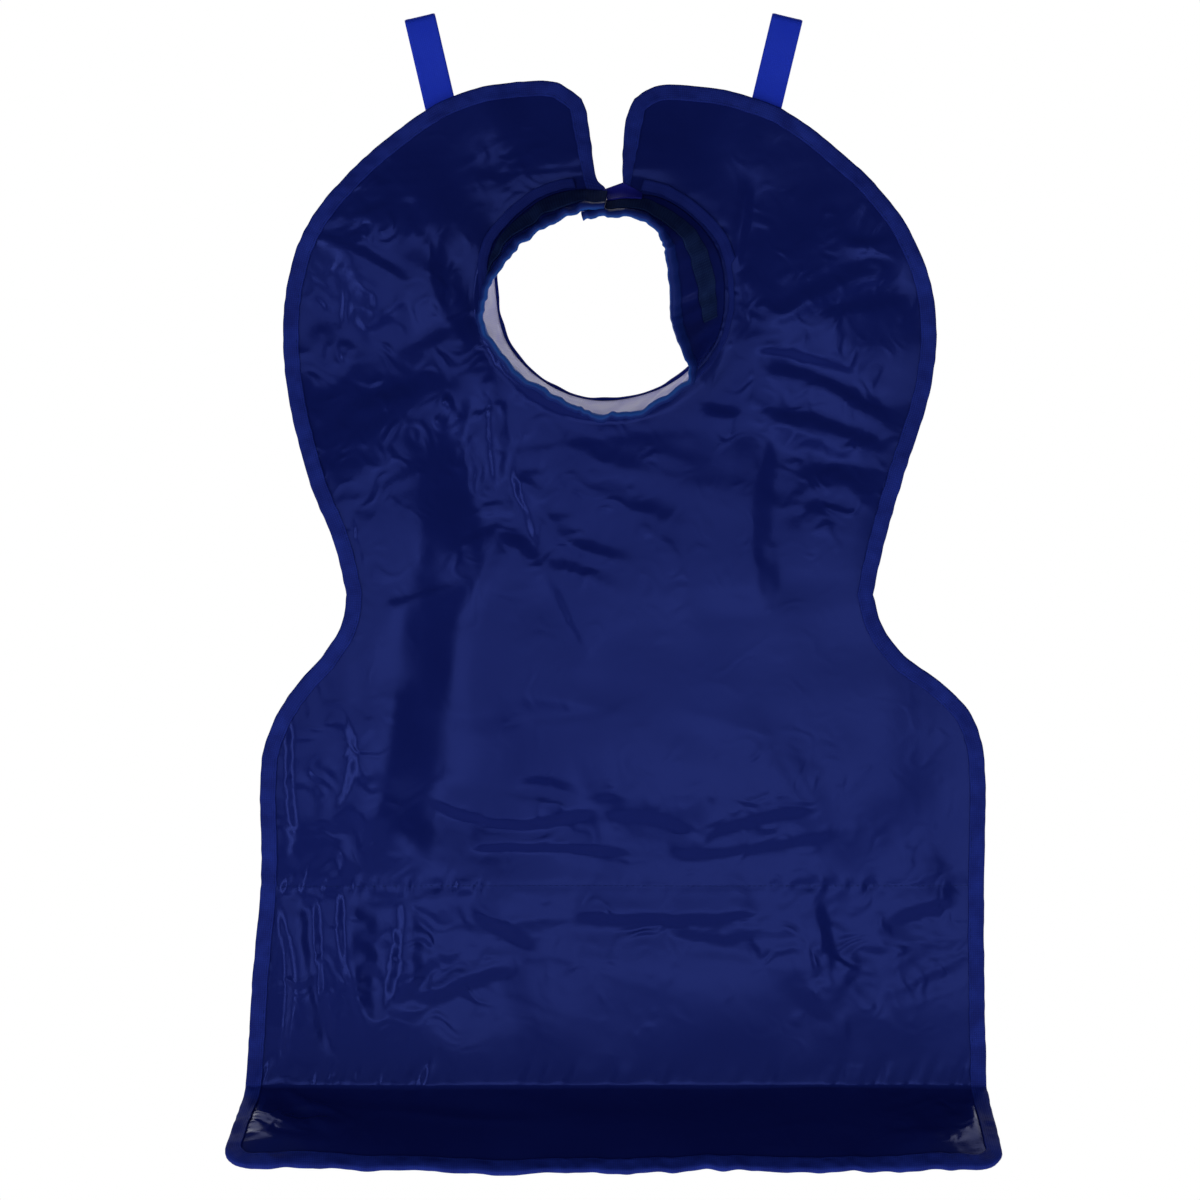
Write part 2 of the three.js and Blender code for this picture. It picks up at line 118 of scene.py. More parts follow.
# Cells of the panel's front: from the neck to the edge, along each shoulder, and across
CELLS = Values(radial=56, seat=6, shoulder=150, across=200, corner=8, band=4)
# Cells down the skirt: from s, to s, cells
SKIRT_SPANS = [(WAIST_S, SEAM_S, 90), (SEAM_S, BEND_START, 60),
               (BEND_START, BEND_END, 14), (BEND_END, CORNER_S, 34)]
COLLAR_CELLS = Values(per_station=8, up=24, edge_tape=600, seam_tape=352)
TAB_CELLS = Values(across=24, down=12)
LOOP_CELLS = Values(sewn=12, side=24, arc=25, run=150, across=25)
LINE_CELLS = 40
WELD_DIGITS = 3

# Random waves of the soft pieces: rise, step, seed
WAVES = {
    "neck_rim": [(0.9, 9, 21)],
    "hem": [(1.4, 13, 91)],
    "binding_puff": [(0.5, 6, 31), (0.4, 13, 32)],
    "binding_edge": [(0.8, 7, 33)],
    "collar_ruffle": [(0.8, 4.5, 41), (2.1, 9, 42)],
    "collar_gather": [(2.0, 9, 43)],
    "collar_scallop": [(1.3, 4.6, 51)],
    "collar_tape_puff": [(0.3, 5, 52)],
    "seam_tape_edge": [(0.5, 5, 61)],
    "seam_tape_puff": [(0.25, 4, 62)],
}
WAVE_KNOTS = Values(count=4096, start=1024)
CLOUD_KNOTS = Values(count=64, start=32)
RUFFLE = Values(reach=10, grows=(0, 2.5))

# Section of the binding's legs: share from its inner edge to the rim, share of its puff
BINDING_LEG = [(0, 0), (0.05, 0), (0.13, -0.25), (0.2, -0.25), (0.3, 0.25), (0.5, 1), (0.7, 1), (0.88, 0.5)]
# Inside of the binding: share from its inner edge to the rim, side
BINDING_CORE = [(0, -1), (0.5, -1), (1, -1), (1, 1), (0.5, 1), (0, 1)]
BINDING = Values(clear=0.1, crown=0.15, crown_at=8, back_puff=0.6, leg_wave=0.6,
                 rim_points=7, rim_depth=0.55, rim_wave=0.4)

# Section of the collar's edge tape: drop below the free edge, stand off the cloth, share of its scallop
COLLAR_TAPE_OUTER = [(8, 0, 0.4), (8, 0.9, 0.4), (6.6, 0.7, 0), (5, 1.1, 0), (2.5, 1.2, 0), (0.8, 1, 0)]
COLLAR_TAPE_INNER = [(0.8, 0.9, 0), (2.2, 1.1, 0), (3.4, 0.9, 1), (4.4, 0.7, 1), (4.4, 0, 1)]
COLLAR_TAPE_TURN = Values(shares=(0.85, 0.5, 0.15), above=1.1, stand=0.6)
COLLAR_TAPE_CORE = (1.5, -0.2)

# Section of the neck seam's tape: share of its width, stand off the panel
SEAM_TAPE_SECTION = [(0, 0), (0, 0.8), (0.12, 1.0), (0.5, 1.1), (0.88, 1.0), (1, 0.8), (1, 0)]
SEAM_TAPE = Values(stations=(2, 46), from_neck=5.4, width=8.5, narrower=3.5, narrows_at=(12, 16),
                   wider=4.5, widens_at=(38.4, 38.8), puffs_above=0.9)

# Edge of the panel on the flat cloth, as (x, s): up the slot, over the shoulder, then x by s down the skirt
SLOT_ROWS = {
    "left": [(-4, 148), (-11, 135), (-14, 121), (-17, 98), (-20, 79), (-24, 68)],
    "right": [(12, 148), (12.5, 118), (14, 94), (17, 79), (22, 68)],
}
SHOULDER_ROWS = {
    "left": [(-24, 68), (-45, 54), (-76, 54), (-118, 63), (-160, 84), (-216, 131), (-254, 181),
             (-270, 240), (-268, 307), (-250, 382), (-227, 440), (-217, WAIST_S)],
    "right": [(22, 68), (42, 57), (76, 58), (115, 67), (154, 84), (212, 131), (251, 181),
              (271, 240), (268, 307), (245, 382), (228, 440), (219, WAIST_S)],
}
SKIRT_S = [WAIST_S, 507, 532, 557, 582, 620, 720, 800, FOLD_S, CORNER_S]
SKIRT_X = {
    "left": [-217, -221, -236, -258, -275, -288, -289, -296, -302, -309],
    "right": [219, 226, 244, 277, 301, 312, 312, 312, 314, 316],
}

# Collar sections, one every 30 degrees from the top towards the left
COLLAR_BASE = np.array([(-1, 148), (-50, 153), (-91, 190), (-94, 232), (-83, 275), (-48, 308),
                        (-4, 320), (47, 308), (82, 277), (94, 236), (86, 192), (49, 157)], float)
COLLAR_FREE = np.array([(-4, 166), (-44, 176), (-82, 205), (-105, 244), (-94, 283), (-49, 320),
                        (-12, 336), (29, 331), (66, 303), (53, 260), (49, 211), (38, 183)], float)

# Broad swells of the hanging panel: x, s, reach across, reach down, rise
SWELLS = [
    (-10, 440, 170, 110, 2),
    (-285, 235, 90, 100, -5),
    (280, 250, 90, 110, -5),
    (-30, 620, 190, 110, 4),
    (300, 700, 80, 120, -3),
    (-60, 55, 60, 60, -9),
    (60, 55, 60, 60, -9),
    (185, 195, 75, 45, 3.5),
    (0, 905, 330, 40, -3),
    (-258, 968, 46, 44, 7),
    (270, 968, 44, 42, 7),
]

# Folds and creases, each through three points: x, s, x, s, x, s, half width, and the step that the cloth
# makes over it, forward towards its lower or right side
CREASES = [
    (-128, 95, -126, 200, -168, 312, 26, -7), (-158, 270, -146, 530, -222, 800, 30, -9.4),
    (-100, 306, -100, 352, -96, 402, 3, 1.0), (-118, 338, -114, 372, -110, 424, 3, 1.0),
    (-81, 372, -78, 392, -58, 413, 3, 0.8), (-84, 352, -60, 440, -14, 540, 4, 0.7),
    (112, 132, 105, 188, 96, 235, 3.5, 0.9), (119, 130, 112, 186, 103, 233, 3.5, -0.9),
    (103, 178, 106, 240, 100, 312, 13, 3.2), (-246, 359, -201, 324, -134, 301, 7, 2.6),
    (-253, 180, -206, 196, -162, 226, 2.6, 1.0), (-224, 139, -217, 147, -210, 156, 2.5, 0.8),
    (-230, 158, -204, 163, -179, 146, 3.5, 1.1), (-236, 175, -206, 181, -194, 156, 3, 0.9),
    (-165, 147, -162, 167, -175, 194, 2.5, 0.7), (-212, 245, -193, 258, -169, 230, 3, -0.6),
    (-200, 128, -190, 136, -178, 140, 3, 0.7), (-125, 117, -100, 132, -72, 149, 6, 0.5),
    (-252, 224, -251, 248, -250, 271, 4, -0.8), (-252, 331, -229, 313, -212, 292, 3, 0.5),
    (-182, 295, -153, 271, -119, 248, 7, 1.2), (-248, 372, -216, 371, -190, 381, 8, 1.1),
    (-116, 302, -119, 319, -124, 344, 5, -0.7), (-119, 310, -121, 350, -117, 398, 5, -0.7),
    (-90, 306, -89, 348, -87, 398, 6, -0.9), (126, 253, 182, 223, 240, 199, 7, 1.7),
    (122, 263, 182, 238, 250, 213, 5, -0.9), (163, 252, 215, 240, 258, 232, 6, 0.9),
    (118, 280, 160, 283, 224, 304, 3, -0.8), (119, 288, 188, 309, 246, 346, 5, 1.9),
    (120, 330, 184, 340, 237, 366, 5, 1.8), (74, 328, 94, 329, 114, 330, 4, 1.3),
    (155, 373, 195, 379, 236, 388, 8, 1.2), (129, 346, 129, 420, 133, 500, 10, -1.6),
    (135, 342, 136, 359, 134, 378, 4, -0.5), (155, 391, 176, 389, 196, 398, 3, 0.4),
    (155, 411, 176, 409, 196, 418, 4, 0.7), (190, 178, 212, 188, 244, 180, 4, 1.1),
    (194, 191, 215, 199, 245, 191, 4, -0.9), (79, 166, 90, 195, 87, 236, 3, -0.4),
    (129, 88, 121, 144, 110, 200, 4, -0.35), (48, 70, 62, 98, 74, 128, 6, -0.6),
    (-78, 370, -62, 392, -31, 406, 4, 0.35), (-64, 418, -41, 416, -19, 414, 3, 0.4),
    (-2, 414, 26, 409, 44, 412, 3, 0.35), (-91, 428, -64, 446, -33, 477, 6, 1.3),
    (-134, 442, -111, 433, -87, 421, 2.5, 0.7), (127, 564, 139, 622, 170, 653, 5, -0.3),
    (-87, 586, -33, 586, 17, 574, 3.5, 0.3), (-87, 645, -53, 638, -19, 650, 4, -0.6),
    (-19, 656, -3, 651, 12, 649, 3.5, -0.5), (-156, 651, -86, 674, -8, 661, 3, -1.7),
    (-8, 668, 34, 669, 74, 682, 3.5, -1.1), (74, 685, 124, 670, 173, 659, 3, -0.9),
    (-120, 695, -60, 693, 20, 698, 2.5, -1.4), (48, 697, 109, 696, 196, 679, 3, -0.7),
    (-121, 747, -89, 761, -58, 780, 4, -1.9), (-33, 751, 48, 753, 128, 749, 3.5, -1.3),
    (43, 764, 89, 769, 133, 767, 3.5, -1.0), (-180, 824, -162, 808, -136, 775, 4, -1.2),
    (-160, 828, -120, 808, -70, 792, 5, -1.4), (-256, 729, -250, 792, -236, 876, 4.5, -1.6),
    (-222, 724, -221, 777, -198, 872, 3.5, 1.3), (-243, 728, -242, 790, -226, 868, 3.5, 1.2),
    (-202, 724, -204, 790, -192, 876, 11, -4), (-163, 733, -160, 775, -159, 817, 5, -1.2),
    (-276, 738, -267, 812, -276, 884, 3.5, 1.2), (-172, 727, -178, 780, -195, 848, 5, 1.4),
    (174, 724, 183, 773, 188, 800, 4, -1.3), (156, 728, 158, 745, 161, 755, 3, -0.3),
    (146, 799, 169, 826, 191, 839, 5, -0.8), (195, 806, 205, 797, 217, 788, 3.5, -0.8),
    (203, 827, 199, 846, 197, 867, 3, -0.5), (225, 756, 262, 746, 297, 735, 4.5, -1.7),
    (206, 775, 223, 779, 240, 778, 3, -0.5), (-267, 578, -266, 630, -262, 692, 3, 0.8),
    (-223, 576, -214, 625, -237, 670, 4, 1.1), (-217, 655, -206, 682, -204, 718, 3, 1.0),
    (-230, 688, -225, 703, -222, 720, 3, 0.9), (-288, 902, -294, 945, -299, 990, 4, 2.0),
    (-272, 902, -242, 946, -224, 968, 5, 1.7), (-296, 988, -276, 982, -252, 972, 4, -1.4),
    (299, 905, 303, 940, 306, 990, 4, -2.0), (262, 903, 280, 925, 292, 958, 5, -1.5),
    (220, 952, 250, 958, 285, 950, 5, 1.2), (-216, 620, -203, 635, -194, 625, 3, -0.45),
    (-190, 491, -160, 483, -110, 466, 2.5, 0.7),
]

# Gathers along the stitched seams: s, from x, to x, spacing, reach, rise
PUCKERS = [
    (SEAM_S, -288, -105, 8, 6, 1.3),
    (SEAM_S, -105, 130, 14, 6, 0.2),
    (SEAM_S, 130, 225, 8, 6, 1.0),
    (SEAM_S, 225, 312, 16, 8, 0.3),
    (FOLD_S - 8, -302, -150, 11, 12, 1.4),
    (FOLD_S - 8, -150, 180, 15, 10, 0.7),
    (FOLD_S - 8, 180, 310, 11, 12, 1.1),
]

# Patches of small crumples: x, s, reach across, reach down, turn of their lines in degrees below the
# horizontal, spacing, length, rise
CRUMPLES = [
    (-215, 165, 52, 62, 42, 16, 52, 0.8),
    (-222, 255, 40, 50, 70, 24, 80, 0.9),
    (-212, 335, 55, 55, -32, 19, 75, 1.1),
    (-205, 430, 42, 60, 84, 17, 80, 0.6),
    (-130, 230, 30, 70, 84, 17, 70, 0.8),
    (-110, 360, 45, 75, 88, 20, 95, 1.0),
    (-75, 120, 45, 35, -35, 16, 45, 0.5),
    (195, 215, 60, 50, -16, 20, 90, 0.7),
    (185, 320, 60, 60, 22, 22, 110, 0.8),
    (190, 395, 48, 36, 8, 15, 60, 0.7),
    (110, 250, 26, 80, 86, 16, 60, 0.7),
    (-15, 430, 90, 60, 18, 26, 90, 0.8),
    (-225, 560, 36, 70, 82, 20, 100, 0.7),
    (-245, 640, 40, 60, 80, 18, 80, 0.8),
    (0, 672, 160, 34, 0, 15, 130, 0.35),
    (160, 640, 60, 60, 60, 24, 90, 0.4),
    (15, 765, 150, 30, 2, 15, 110, 0.45),
    (-225, 795, 60, 66, 93, 18, 130, 1.1),
    (-140, 800, 45, 40, -30, 18, 60, 0.9),
    (185, 785, 52, 55, 70, 16, 55, 0.6),
    (265, 770, 36, 50, -18, 18, 60, 0.9),
    (-262, 940, 54, 40, 35, 20, 60, 3.2),
    (276, 940, 50, 38, -35, 20, 60, 3.0),
    (0, 930, 220, 34, 4, 30, 150, 1.2),
    (20, 560, 170, 110, 80, 75, 260, 3.5),
    (-40, 620, 120, 60, 12, 34, 150, 1.2),
]

# Slight unevenness of the hanging cloth: size of the patches, rise
UNEVEN = [(90, 2.0), (40, 0.6)]

# Patterns of the materials: sizes in millimetres, the rest as shares
VINYL = Values(tone=120, scuff=30, crinkle=26, crinkle_depth=1.6, grain=1.2, grain_depth=0.2)
WEAVE = Values(wobble=0.6, wobble_scale=1.5, depth=0.3, dye=20, dye_ends=(0.35, 0.65), uneven=0.06)
# Angle that the wave texture turns through in one unit, in radians
WAVE_TURN = 20

# Lights: place, aim, width and height in metres, power in watts
LIGHTS = {
    "front_panel": ((-0.1, -3.5, -0.57), (-0.1, 0, -0.57), (2.1, 1.34), 10.2),
    "low_panel": ((0.45, -3.4, -1.1), (0.45, 0, -1.1), (1.7, 0.98), 3.8),
    "left_strip": ((-1.75, -3.0, -0.8), (0, 0, -0.8), (0.45, 1.8), 8.5),
    "left_softbox": ((-2.2, -1.3, -1.5), (0, 0, -0.8), (1.4, 1.2), 7.5),
    "right_softbox": ((2.2, -1.2, -1.5), (0, 0, -0.8), (1.4, 1.2), 6.5),
    "backdrop_glow": ((0.0, 1.1, 0.3), (0, 0, 0.3), (2.4, 3.6), 30),
}
ROOM_COLOUR = (0.04, 0.04, 0.045, 1)
SWEEP_COLOUR = (1, 1, 1, 1)
FLOOR = Values(side=2500, front=-1800, back=1080, z=-1250)
CAMERA = Values(sensor=36, lens=89.75, place=(-7.5, -2500, -486.4))


# Small helpers

def ease(t):
    return t * t * (3 - 2 * t)


def smoothstep(value, low, high):
    return ease(np.clip((value - low) / (high - low), 0, 1))


def bell(value):
    return np.exp(-(value**2))


def unit(vectors):
    return vectors / np.linalg.norm(vectors, axis=-1, keepdims=True)


def run_along(line):
    """Distance run along a line at each of its points."""
    return np.concatenate([[0], np.cumsum(np.linalg.norm(np.diff(line, axis=0), axis=1))])


def curve(a, b, c, d, t):
    """A point of the smooth curve between b and c, with a before them and d after them."""
    return b + t * ((c - a) + t * ((2 * a - 5 * b + 4 * c - d) + t * (3 * b - a - 3 * c + d))) / 2


def wander(at, step, seed):
    """A smooth random curve between -1 and 1, with a new value every step."""
    count = WAVE_KNOTS.count
    knots = np.random.default_rng(seed).uniform(-1, 1, count)
    place = np.asarray(at, float) / step + WAVE_KNOTS.start
    first = np.floor(place).astype(int)
    t = ease(place - first)
    return knots[first % count] * (1 - t) + knots[(first + 1) % count] * t


def waves(name, at):
    """The sum of one piece's random waves at places along it."""
    return sum(rise * wander(at, step, seed) for rise, step, seed in WAVES[name])


def clouds(x, s, cell, seed):
    """Smooth random patches between -1 and 1 over the flat cloth."""
    count = CLOUD_KNOTS.count
    table = np.random.default_rng(seed).uniform(-1, 1, (count, count))
    u, v = x / cell + CLOUD_KNOTS.start, s / cell
    i, j = np.floor(u).astype(int), np.floor(v).astype(int)
    a, b = ease(u - i), ease(v - j)
    i, j, i_next, j_next = i % count, j % count, (i + 1) % count, (j + 1) % count
    low = table[i, j] * (1 - a) + table[i_next, j] * a
    high = table[i, j_next] * (1 - a) + table[i_next, j_next] * a
    return low * (1 - b) + high * b


def smooth_line(points, count):
    """Evenly spaced points, count + 1 of them, along a smooth curve through the given ones."""
    p = np.array(points, float)
    ends = np.vstack([p[0], p, p[-1]])
    t = np.linspace(0, len(p) - 1, LINE_CELLS * (len(p) - 1) + 1)
    i = np.minimum(t.astype(int), len(p) - 2)
    u = (t - i)[:, None]
    return even_steps(curve(*(ends[i + k] for k in range(4)), u), count)


def even_steps(line, count):
    """The line with count + 1 evenly spaced points."""
    run = run_along(line)
    at = np.linspace(0, run[-1], count + 1)
    return np.column_stack([np.interp(at, run, line[:, k]) for k in range(line.shape[1])])


def side_x(side, s):
    """The skirt's edge at a distance down, as a smooth curve through its rows."""
    keys, values = np.array(SKIRT_S, float), np.array(SKIRT_X[side], float)
    last = len(keys) - 1
    before, after = np.maximum(np.arange(last + 1) - 1, 0), np.minimum(np.arange(last + 1) + 1, last)
    slope = (values[after] - values[before]) / (keys[after] - keys[before])
    i = np.clip(np.searchsorted(keys, s, side="right") - 1, 0, last - 1)
    span = keys[i + 1] - keys[i]
    t = (s - keys[i]) / span
    bend = slope[i] * (t - 2 * t**2 + t**3) + slope[i + 1] * (t**3 - t**2)
    return values[i] + (values[i + 1] - values[i]) * ease(t) + span * bend


# The flat cloth's places

def collar_row(table, angle):
    """A smooth point from the collar's sections at an angle in degrees."""
    place = np.asarray(angle, float) / 360 * len(table)
    first = np.floor(place).astype(int)
    t = (place - first)[..., None]
    return curve(*(table[(first + k) % len(table)] for k in (-1, 0, 1, 2)), t)


def neck_point(angle, grow):
    """A point of the neck's edge, grown outward by a distance."""
    point = collar_row(COLLAR_BASE, angle)
    outward = unit(point - (NECK.x, NECK.s))
    return point + outward * np.asarray(grow, float)[..., None]


def neck_angle(point):
    """Angle round the neck in degrees, from the top towards the left."""
    turn = np.arctan2((NECK.x - point[..., 0]) / NECK.rx, (NECK.s - point[..., 1]) / NECK.rs)
    return np.degrees(turn) % 360


# From the flat cloth to the hanging form

def crease_step(x, s, row):
    """Forward stand of the cloth at flat points near one crease."""
    points = np.array(row[:6], float).reshape(3, 2)
    half_width, rise = row[6:]
    start, middle, end = points
    bend = 2 * middle - (start + end) / 2
    t = np.linspace(0, 1, CREASE_POINTS)[:, None]
    line = (1 - t) ** 2 * start + 2 * t * (1 - t) * bend + t**2 * end
    run_out = CREASE_RUN_OUT.share * half_width + CREASE_RUN_OUT.least
    far = half_width + CREASE_RUN_OUT.far * run_out
    low, high = line.min(axis=0) - far, line.max(axis=0) + far
    near = (x > low[0]) & (x < high[0]) & (s > low[1]) & (s < high[1])
    total = np.zeros_like(x)
    if not near.any():
        return total
    step = np.diff(line, axis=0)
    away = np.stack([x[near], s[near]], axis=-1)[:, None, :] - line[:-1]
    along = np.clip((away * step).sum(-1) / (step**2).sum(-1), 0, 1)
    gap = away - along[..., None] * step
    best = (gap**2).sum(-1).argmin(axis=1)
    pick = np.arange(len(best))
    share = (best + along[pick, best]) / len(step)
    chord = end - start
    level = abs(chord[0]) >= abs(chord[1])
    turn = np.sign(chord[0]) if level else -np.sign(chord[1])
    side = np.sign(step[best, 0] * away[pick, best, 1] - step[best, 1] * away[pick, best, 0]) * turn
    across = np.linalg.norm(gap[pick, best], axis=1)
    cell = max(CREASE_STRAY.least, CREASE_STRAY.cell * half_width)
    stray = CREASE_STRAY.share * clouds(x[near], s[near], cell, CREASE_STRAY.seed)
    q = side * across / half_width + stray
    ramp = q / (1 + q**4) ** 0.25
    length = np.linalg.norm(step, axis=1).sum()
    run_in = min(CREASE_END.most * length, max(CREASE_END.least, CREASE_END.share * abs(rise)))
    fade = smoothstep(np.minimum(share, 1 - share) * length, -CREASE_END.before, run_in)
    beyond = np.maximum(0, across - half_width)
    total[near] = rise * fade * ramp * bell(beyond / run_out)
    return total


def patch(x, s, at_x, at_s, reach_x, reach_s):
    """A soft patch of the flat cloth, 1 at its middle."""
    return np.exp(-(((x - at_x) / reach_x) ** 2) - ((s - at_s) / reach_s) ** 2)


def crumple(x, s, row, seed):
    """Forward stand of one patch of crumples: sharp lines between soft hollows."""
    *place, turn, spacing, length, height = row
    off_x, off_s = x - place[0], s - place[1]
    sin, cos = math.sin(math.radians(turn)), math.cos(math.radians(turn))
    along, over = off_x * cos + off_s * sin, off_s * cos - off_x * sin
    stray = clouds(along, over, length * CRUMPLE_LINE.sway_cell, seed + CRUMPLE_LINE.sway_seed)
    sway = CRUMPLE_LINE.sway * spacing * stray
    field = clouds(along / length * spacing, over + sway, spacing, seed + CRUMPLE_LINE.seed)
    lines = 1 - 2 * np.sqrt(field**2 + CRUMPLE_LINE.blunt)
    return height * patch(x, s, *place) * lines


def handling(flat):
    """How much the cloth has been crumpled by hand at flat points, from 0 to 1."""
    total = np.full(len(flat), HANDLED.least)
    for *place, turn, spacing, length, height in CRUMPLES:
        share = min(1, height * HANDLED.steep / spacing) * (spacing < HANDLED.widest)
        total += share * patch(flat[:, 0], flat[:, 1], *place)
    return np.minimum(total, 1)


def drape(x, s):
    """How far the cloth stands forward of its plain hanging profile."""
    x, s = np.asarray(x, float), np.asarray(s, float)
    from_neck = (np.hypot((x - NECK.x) / NECK.rx, (s - NECK.s) / NECK.rs) - 1) * NECK.rs
    from_loop = np.hypot(np.abs(x) - SEWN_AT.x, s - SEWN_AT.s)
    calm = smoothstep(from_neck, *NECK_CALM) * smoothstep(from_loop, *LOOP_CALM)
    rise = np.zeros_like(x)
    for *place, height in SWELLS:
        rise += height * patch(x, s, *place)
    for seed, (cell, height) in enumerate(UNEVEN):
        rise += height * clouds(x, s, cell, seed)
    fine = sum(crease_step(x, s, row) for row in CREASES)
    fine = fine + sum(crumple(x, s, row, seed) for seed, row in enumerate(CRUMPLES))
    for seed, (at_s, from_x, to_x, spacing, reach, height) in enumerate(PUCKERS):
        inside = smoothstep(x, from_x - spacing, from_x) * (1 - smoothstep(x, to_x, to_x + spacing))
        lean = (s - at_s) * PUCKER.lean
        gathers = height * inside * wander(x + lean, spacing / 2, seed + PUCKER.seed)
        fine += gathers * bell((s - at_s) / reach)
    fine -= SEWN_GROOVE.depth * bell((s - SEAM_S) / SEWN_GROOVE.reach)
    at_hem = np.maximum(0, 1 - (CORNER_S + CORNER_RADIUS - s) / HEM_CURL.reach)
    fine += waves("hem", x) * at_hem - HEM_CURL.drop * at_hem**2
    return calm * rise + smoothstep(from_neck, *CREASE_CALM) * fine


def profile(s):
    """The plain hanging profile: y, z and the front normal's y and z."""
    turn = np.clip((s - BEND_START) / FOLD_RADIUS, 0, FLAP_TURN)
    past = np.maximum(0, s - BEND_END)
    sin, cos = np.sin(turn), np.cos(turn)
    y = CLOTH_Y - FOLD_RADIUS * (1 - cos) - past * sin
    z = -np.minimum(s, BEND_START) - FOLD_RADIUS * sin - past * cos
    return y, z, -cos, sin


def hang(flat, out=0.0):
    """Points of the hanging cloth, a distance in front of its middle."""
    x, s = flat[..., 0], flat[..., 1]
    y, z, normal_y, normal_z = profile(s)
    stand = drape(x, s) + out
    return np.stack([x, y + stand * normal_y, z + stand * normal_z], axis=-1)


# Layout of the flat cloth: the edge, the line inside its binding, and the cells

def edge_stations():
    """Points round the panel's edge, from the slot's left side to its right side."""
    skirt_s = np.concatenate([np.linspace(low, high, cells + 1)[1:] for low, high, cells in SKIRT_SPANS])
    sides = []
    for side in ("left", "right"):
        angle = neck_angle(np.array(SLOT_ROWS[side][0], float))
        seat = [neck_point(angle, 0), neck_point(angle, SLOT_FOOT.seat)]
        slot = smooth_line(seat + SLOT_ROWS[side][1:], CELLS.radial)
        shoulder = smooth_line(SHOULDER_ROWS[side], CELLS.shoulder)[1:]
        skirt = np.column_stack([side_x(side, skirt_s), skirt_s])
        sides.append(np.vstack([slot, shoulder, skirt]))
    left, right = sides
    turn = np.linspace(math.pi, math.pi / 2, CELLS.corner + 1)
    corner = np.column_stack([np.cos(turn) + 1, np.sin(turn)]) * CORNER_RADIUS
    left_corner = left[-1] + corner
    right_corner = (right[-1] + corner * (-1, 1))[::-1]
    straight = CELLS.across - 2 * CELLS.corner
    share = np.linspace(0, 1, straight + 1)[:, None]
    hem = left_corner[-1] * (1 - share) + right_corner[0] * share
    return np.vstack([left, left_corner[1:-1], hem, right_corner[1:-1], right[::-1]])


def lay_out():
    """The edge, the inset line and the three grids of cells: edge band, neck ring and skirt."""
    edge = edge_stations()
    last = len(edge) - 1
    order = np.arange(last + 1)
    along = unit(edge[np.minimum(order + EDGE_REACH, last)] - edge[np.maximum(order - EDGE_REACH, 0)])
    inset = edge + np.column_stack([along[:, 1], -along[:, 0]]) * BINDING_WIDTH
    radial, across = CELLS.radial, CELLS.across
    waist = radial + CELLS.shoulder
    rows = sum(cells for *_, cells in SKIRT_SPANS)

    hem = inset[waist + rows:waist + rows + across + 1]
    hem_share = (hem[:, 0] - hem[0, 0]) / (hem[-1, 0] - hem[0, 0])
    down = np.arange(rows)[:, None] / rows
    share = (np.arange(across + 1) / across * (1 - down) + hem_share * down)[..., None]
    left, right = inset[waist:waist + rows, None], inset[last - waist - np.arange(rows), None]
    skirt = np.concatenate([left * (1 - share) + right * share, hem[None]])

    outer = np.vstack([inset[radial:waist], skirt[0], inset[last - waist + 1:last - radial + 1]])
    angle = neck_angle(outer)[:, None]
    rim = NECK_RIM + waves("neck_rim", angle)
    grow = rim + (SEAT_DEPTH - rim) * np.linspace(0, 1, CELLS.seat + 1)
    seat = neck_point(np.broadcast_to(angle, grow.shape), grow)
    t = np.linspace(0, 1, radial - CELLS.seat + 1)[None, 1:, None]
    ring = np.concatenate([seat, seat[:, -1:] * (1 - t) + outer[:, None] * t], axis=1)
    inset[:radial + 1] = ring[0]
    inset[last - radial:] = ring[-1][::-1]
    share = SLOT_FOOT.edge_share
    for end in (0, last):
        edge[end] = edge[end] * share + inset[end] * (1 - share)

    t = np.linspace(0, 1, CELLS.band + 1)[None, :, None]
    band = inset[:, None] * (1 - t) + edge[:, None] * t
    return edge, inset, [band, ring, skirt.transpose(1, 0, 2)]


edge, inset, flat_grids = lay_out()


# Meshes

def welded(grids):
    """Unique flat points and the quads between them, anticlockwise as seen from the front."""
    points = np.vstack([g.reshape(-1, 2) for g in grids])
    quads, start = [], 0
    for g in grids:
        n, m = g.shape[:2]
        ids = start + np.arange(n * m).reshape(n, m)
        quads.append(np.stack([ids[:-1, :-1], ids[:-1, 1:], ids[1:, 1:], ids[1:, :-1]], -1).reshape(-1, 4))
        start += n * m
    _, first, where = np.unique(np.round(points, WELD_DIGITS), axis=0, return_index=True, return_inverse=True)
    return points[first], where.reshape(-1)[np.vstack(quads)]


def rim_steps(quads):
    """Next point along the open rim, for each point on it."""
    sides = np.vstack([quads[:, [k, (k + 1) % 4]] for k in range(4)])
    known = set(map(tuple, sides))
    return {a: b for a, b in known if (b, a) not in known}


def new_object(name, data):
    obj = bpy.data.objects.new(name, data)
    bpy.context.collection.objects.link(obj)
    return obj


def mesh_piece(name, points, faces, material, uv=None):
    """A smooth-shaded object from points in millimetres."""
    mesh = bpy.data.meshes.new(name)
    mesh.from_pydata((np.asarray(points) * MM).tolist(), [], [list(f) for f in faces])
    if uv is not None:
        layer = mesh.uv_layers.new(name="cloth")
        corners = np.empty(len(mesh.loops), int)
        mesh.loops.foreach_get("vertex_index", corners)
        layer.data.foreach_set("uv", (np.asarray(uv)[corners] * MM).ravel())
    mesh.materials.append(material)
    mesh.shade_smooth()
    mesh.update()
    return new_object(name, mesh)


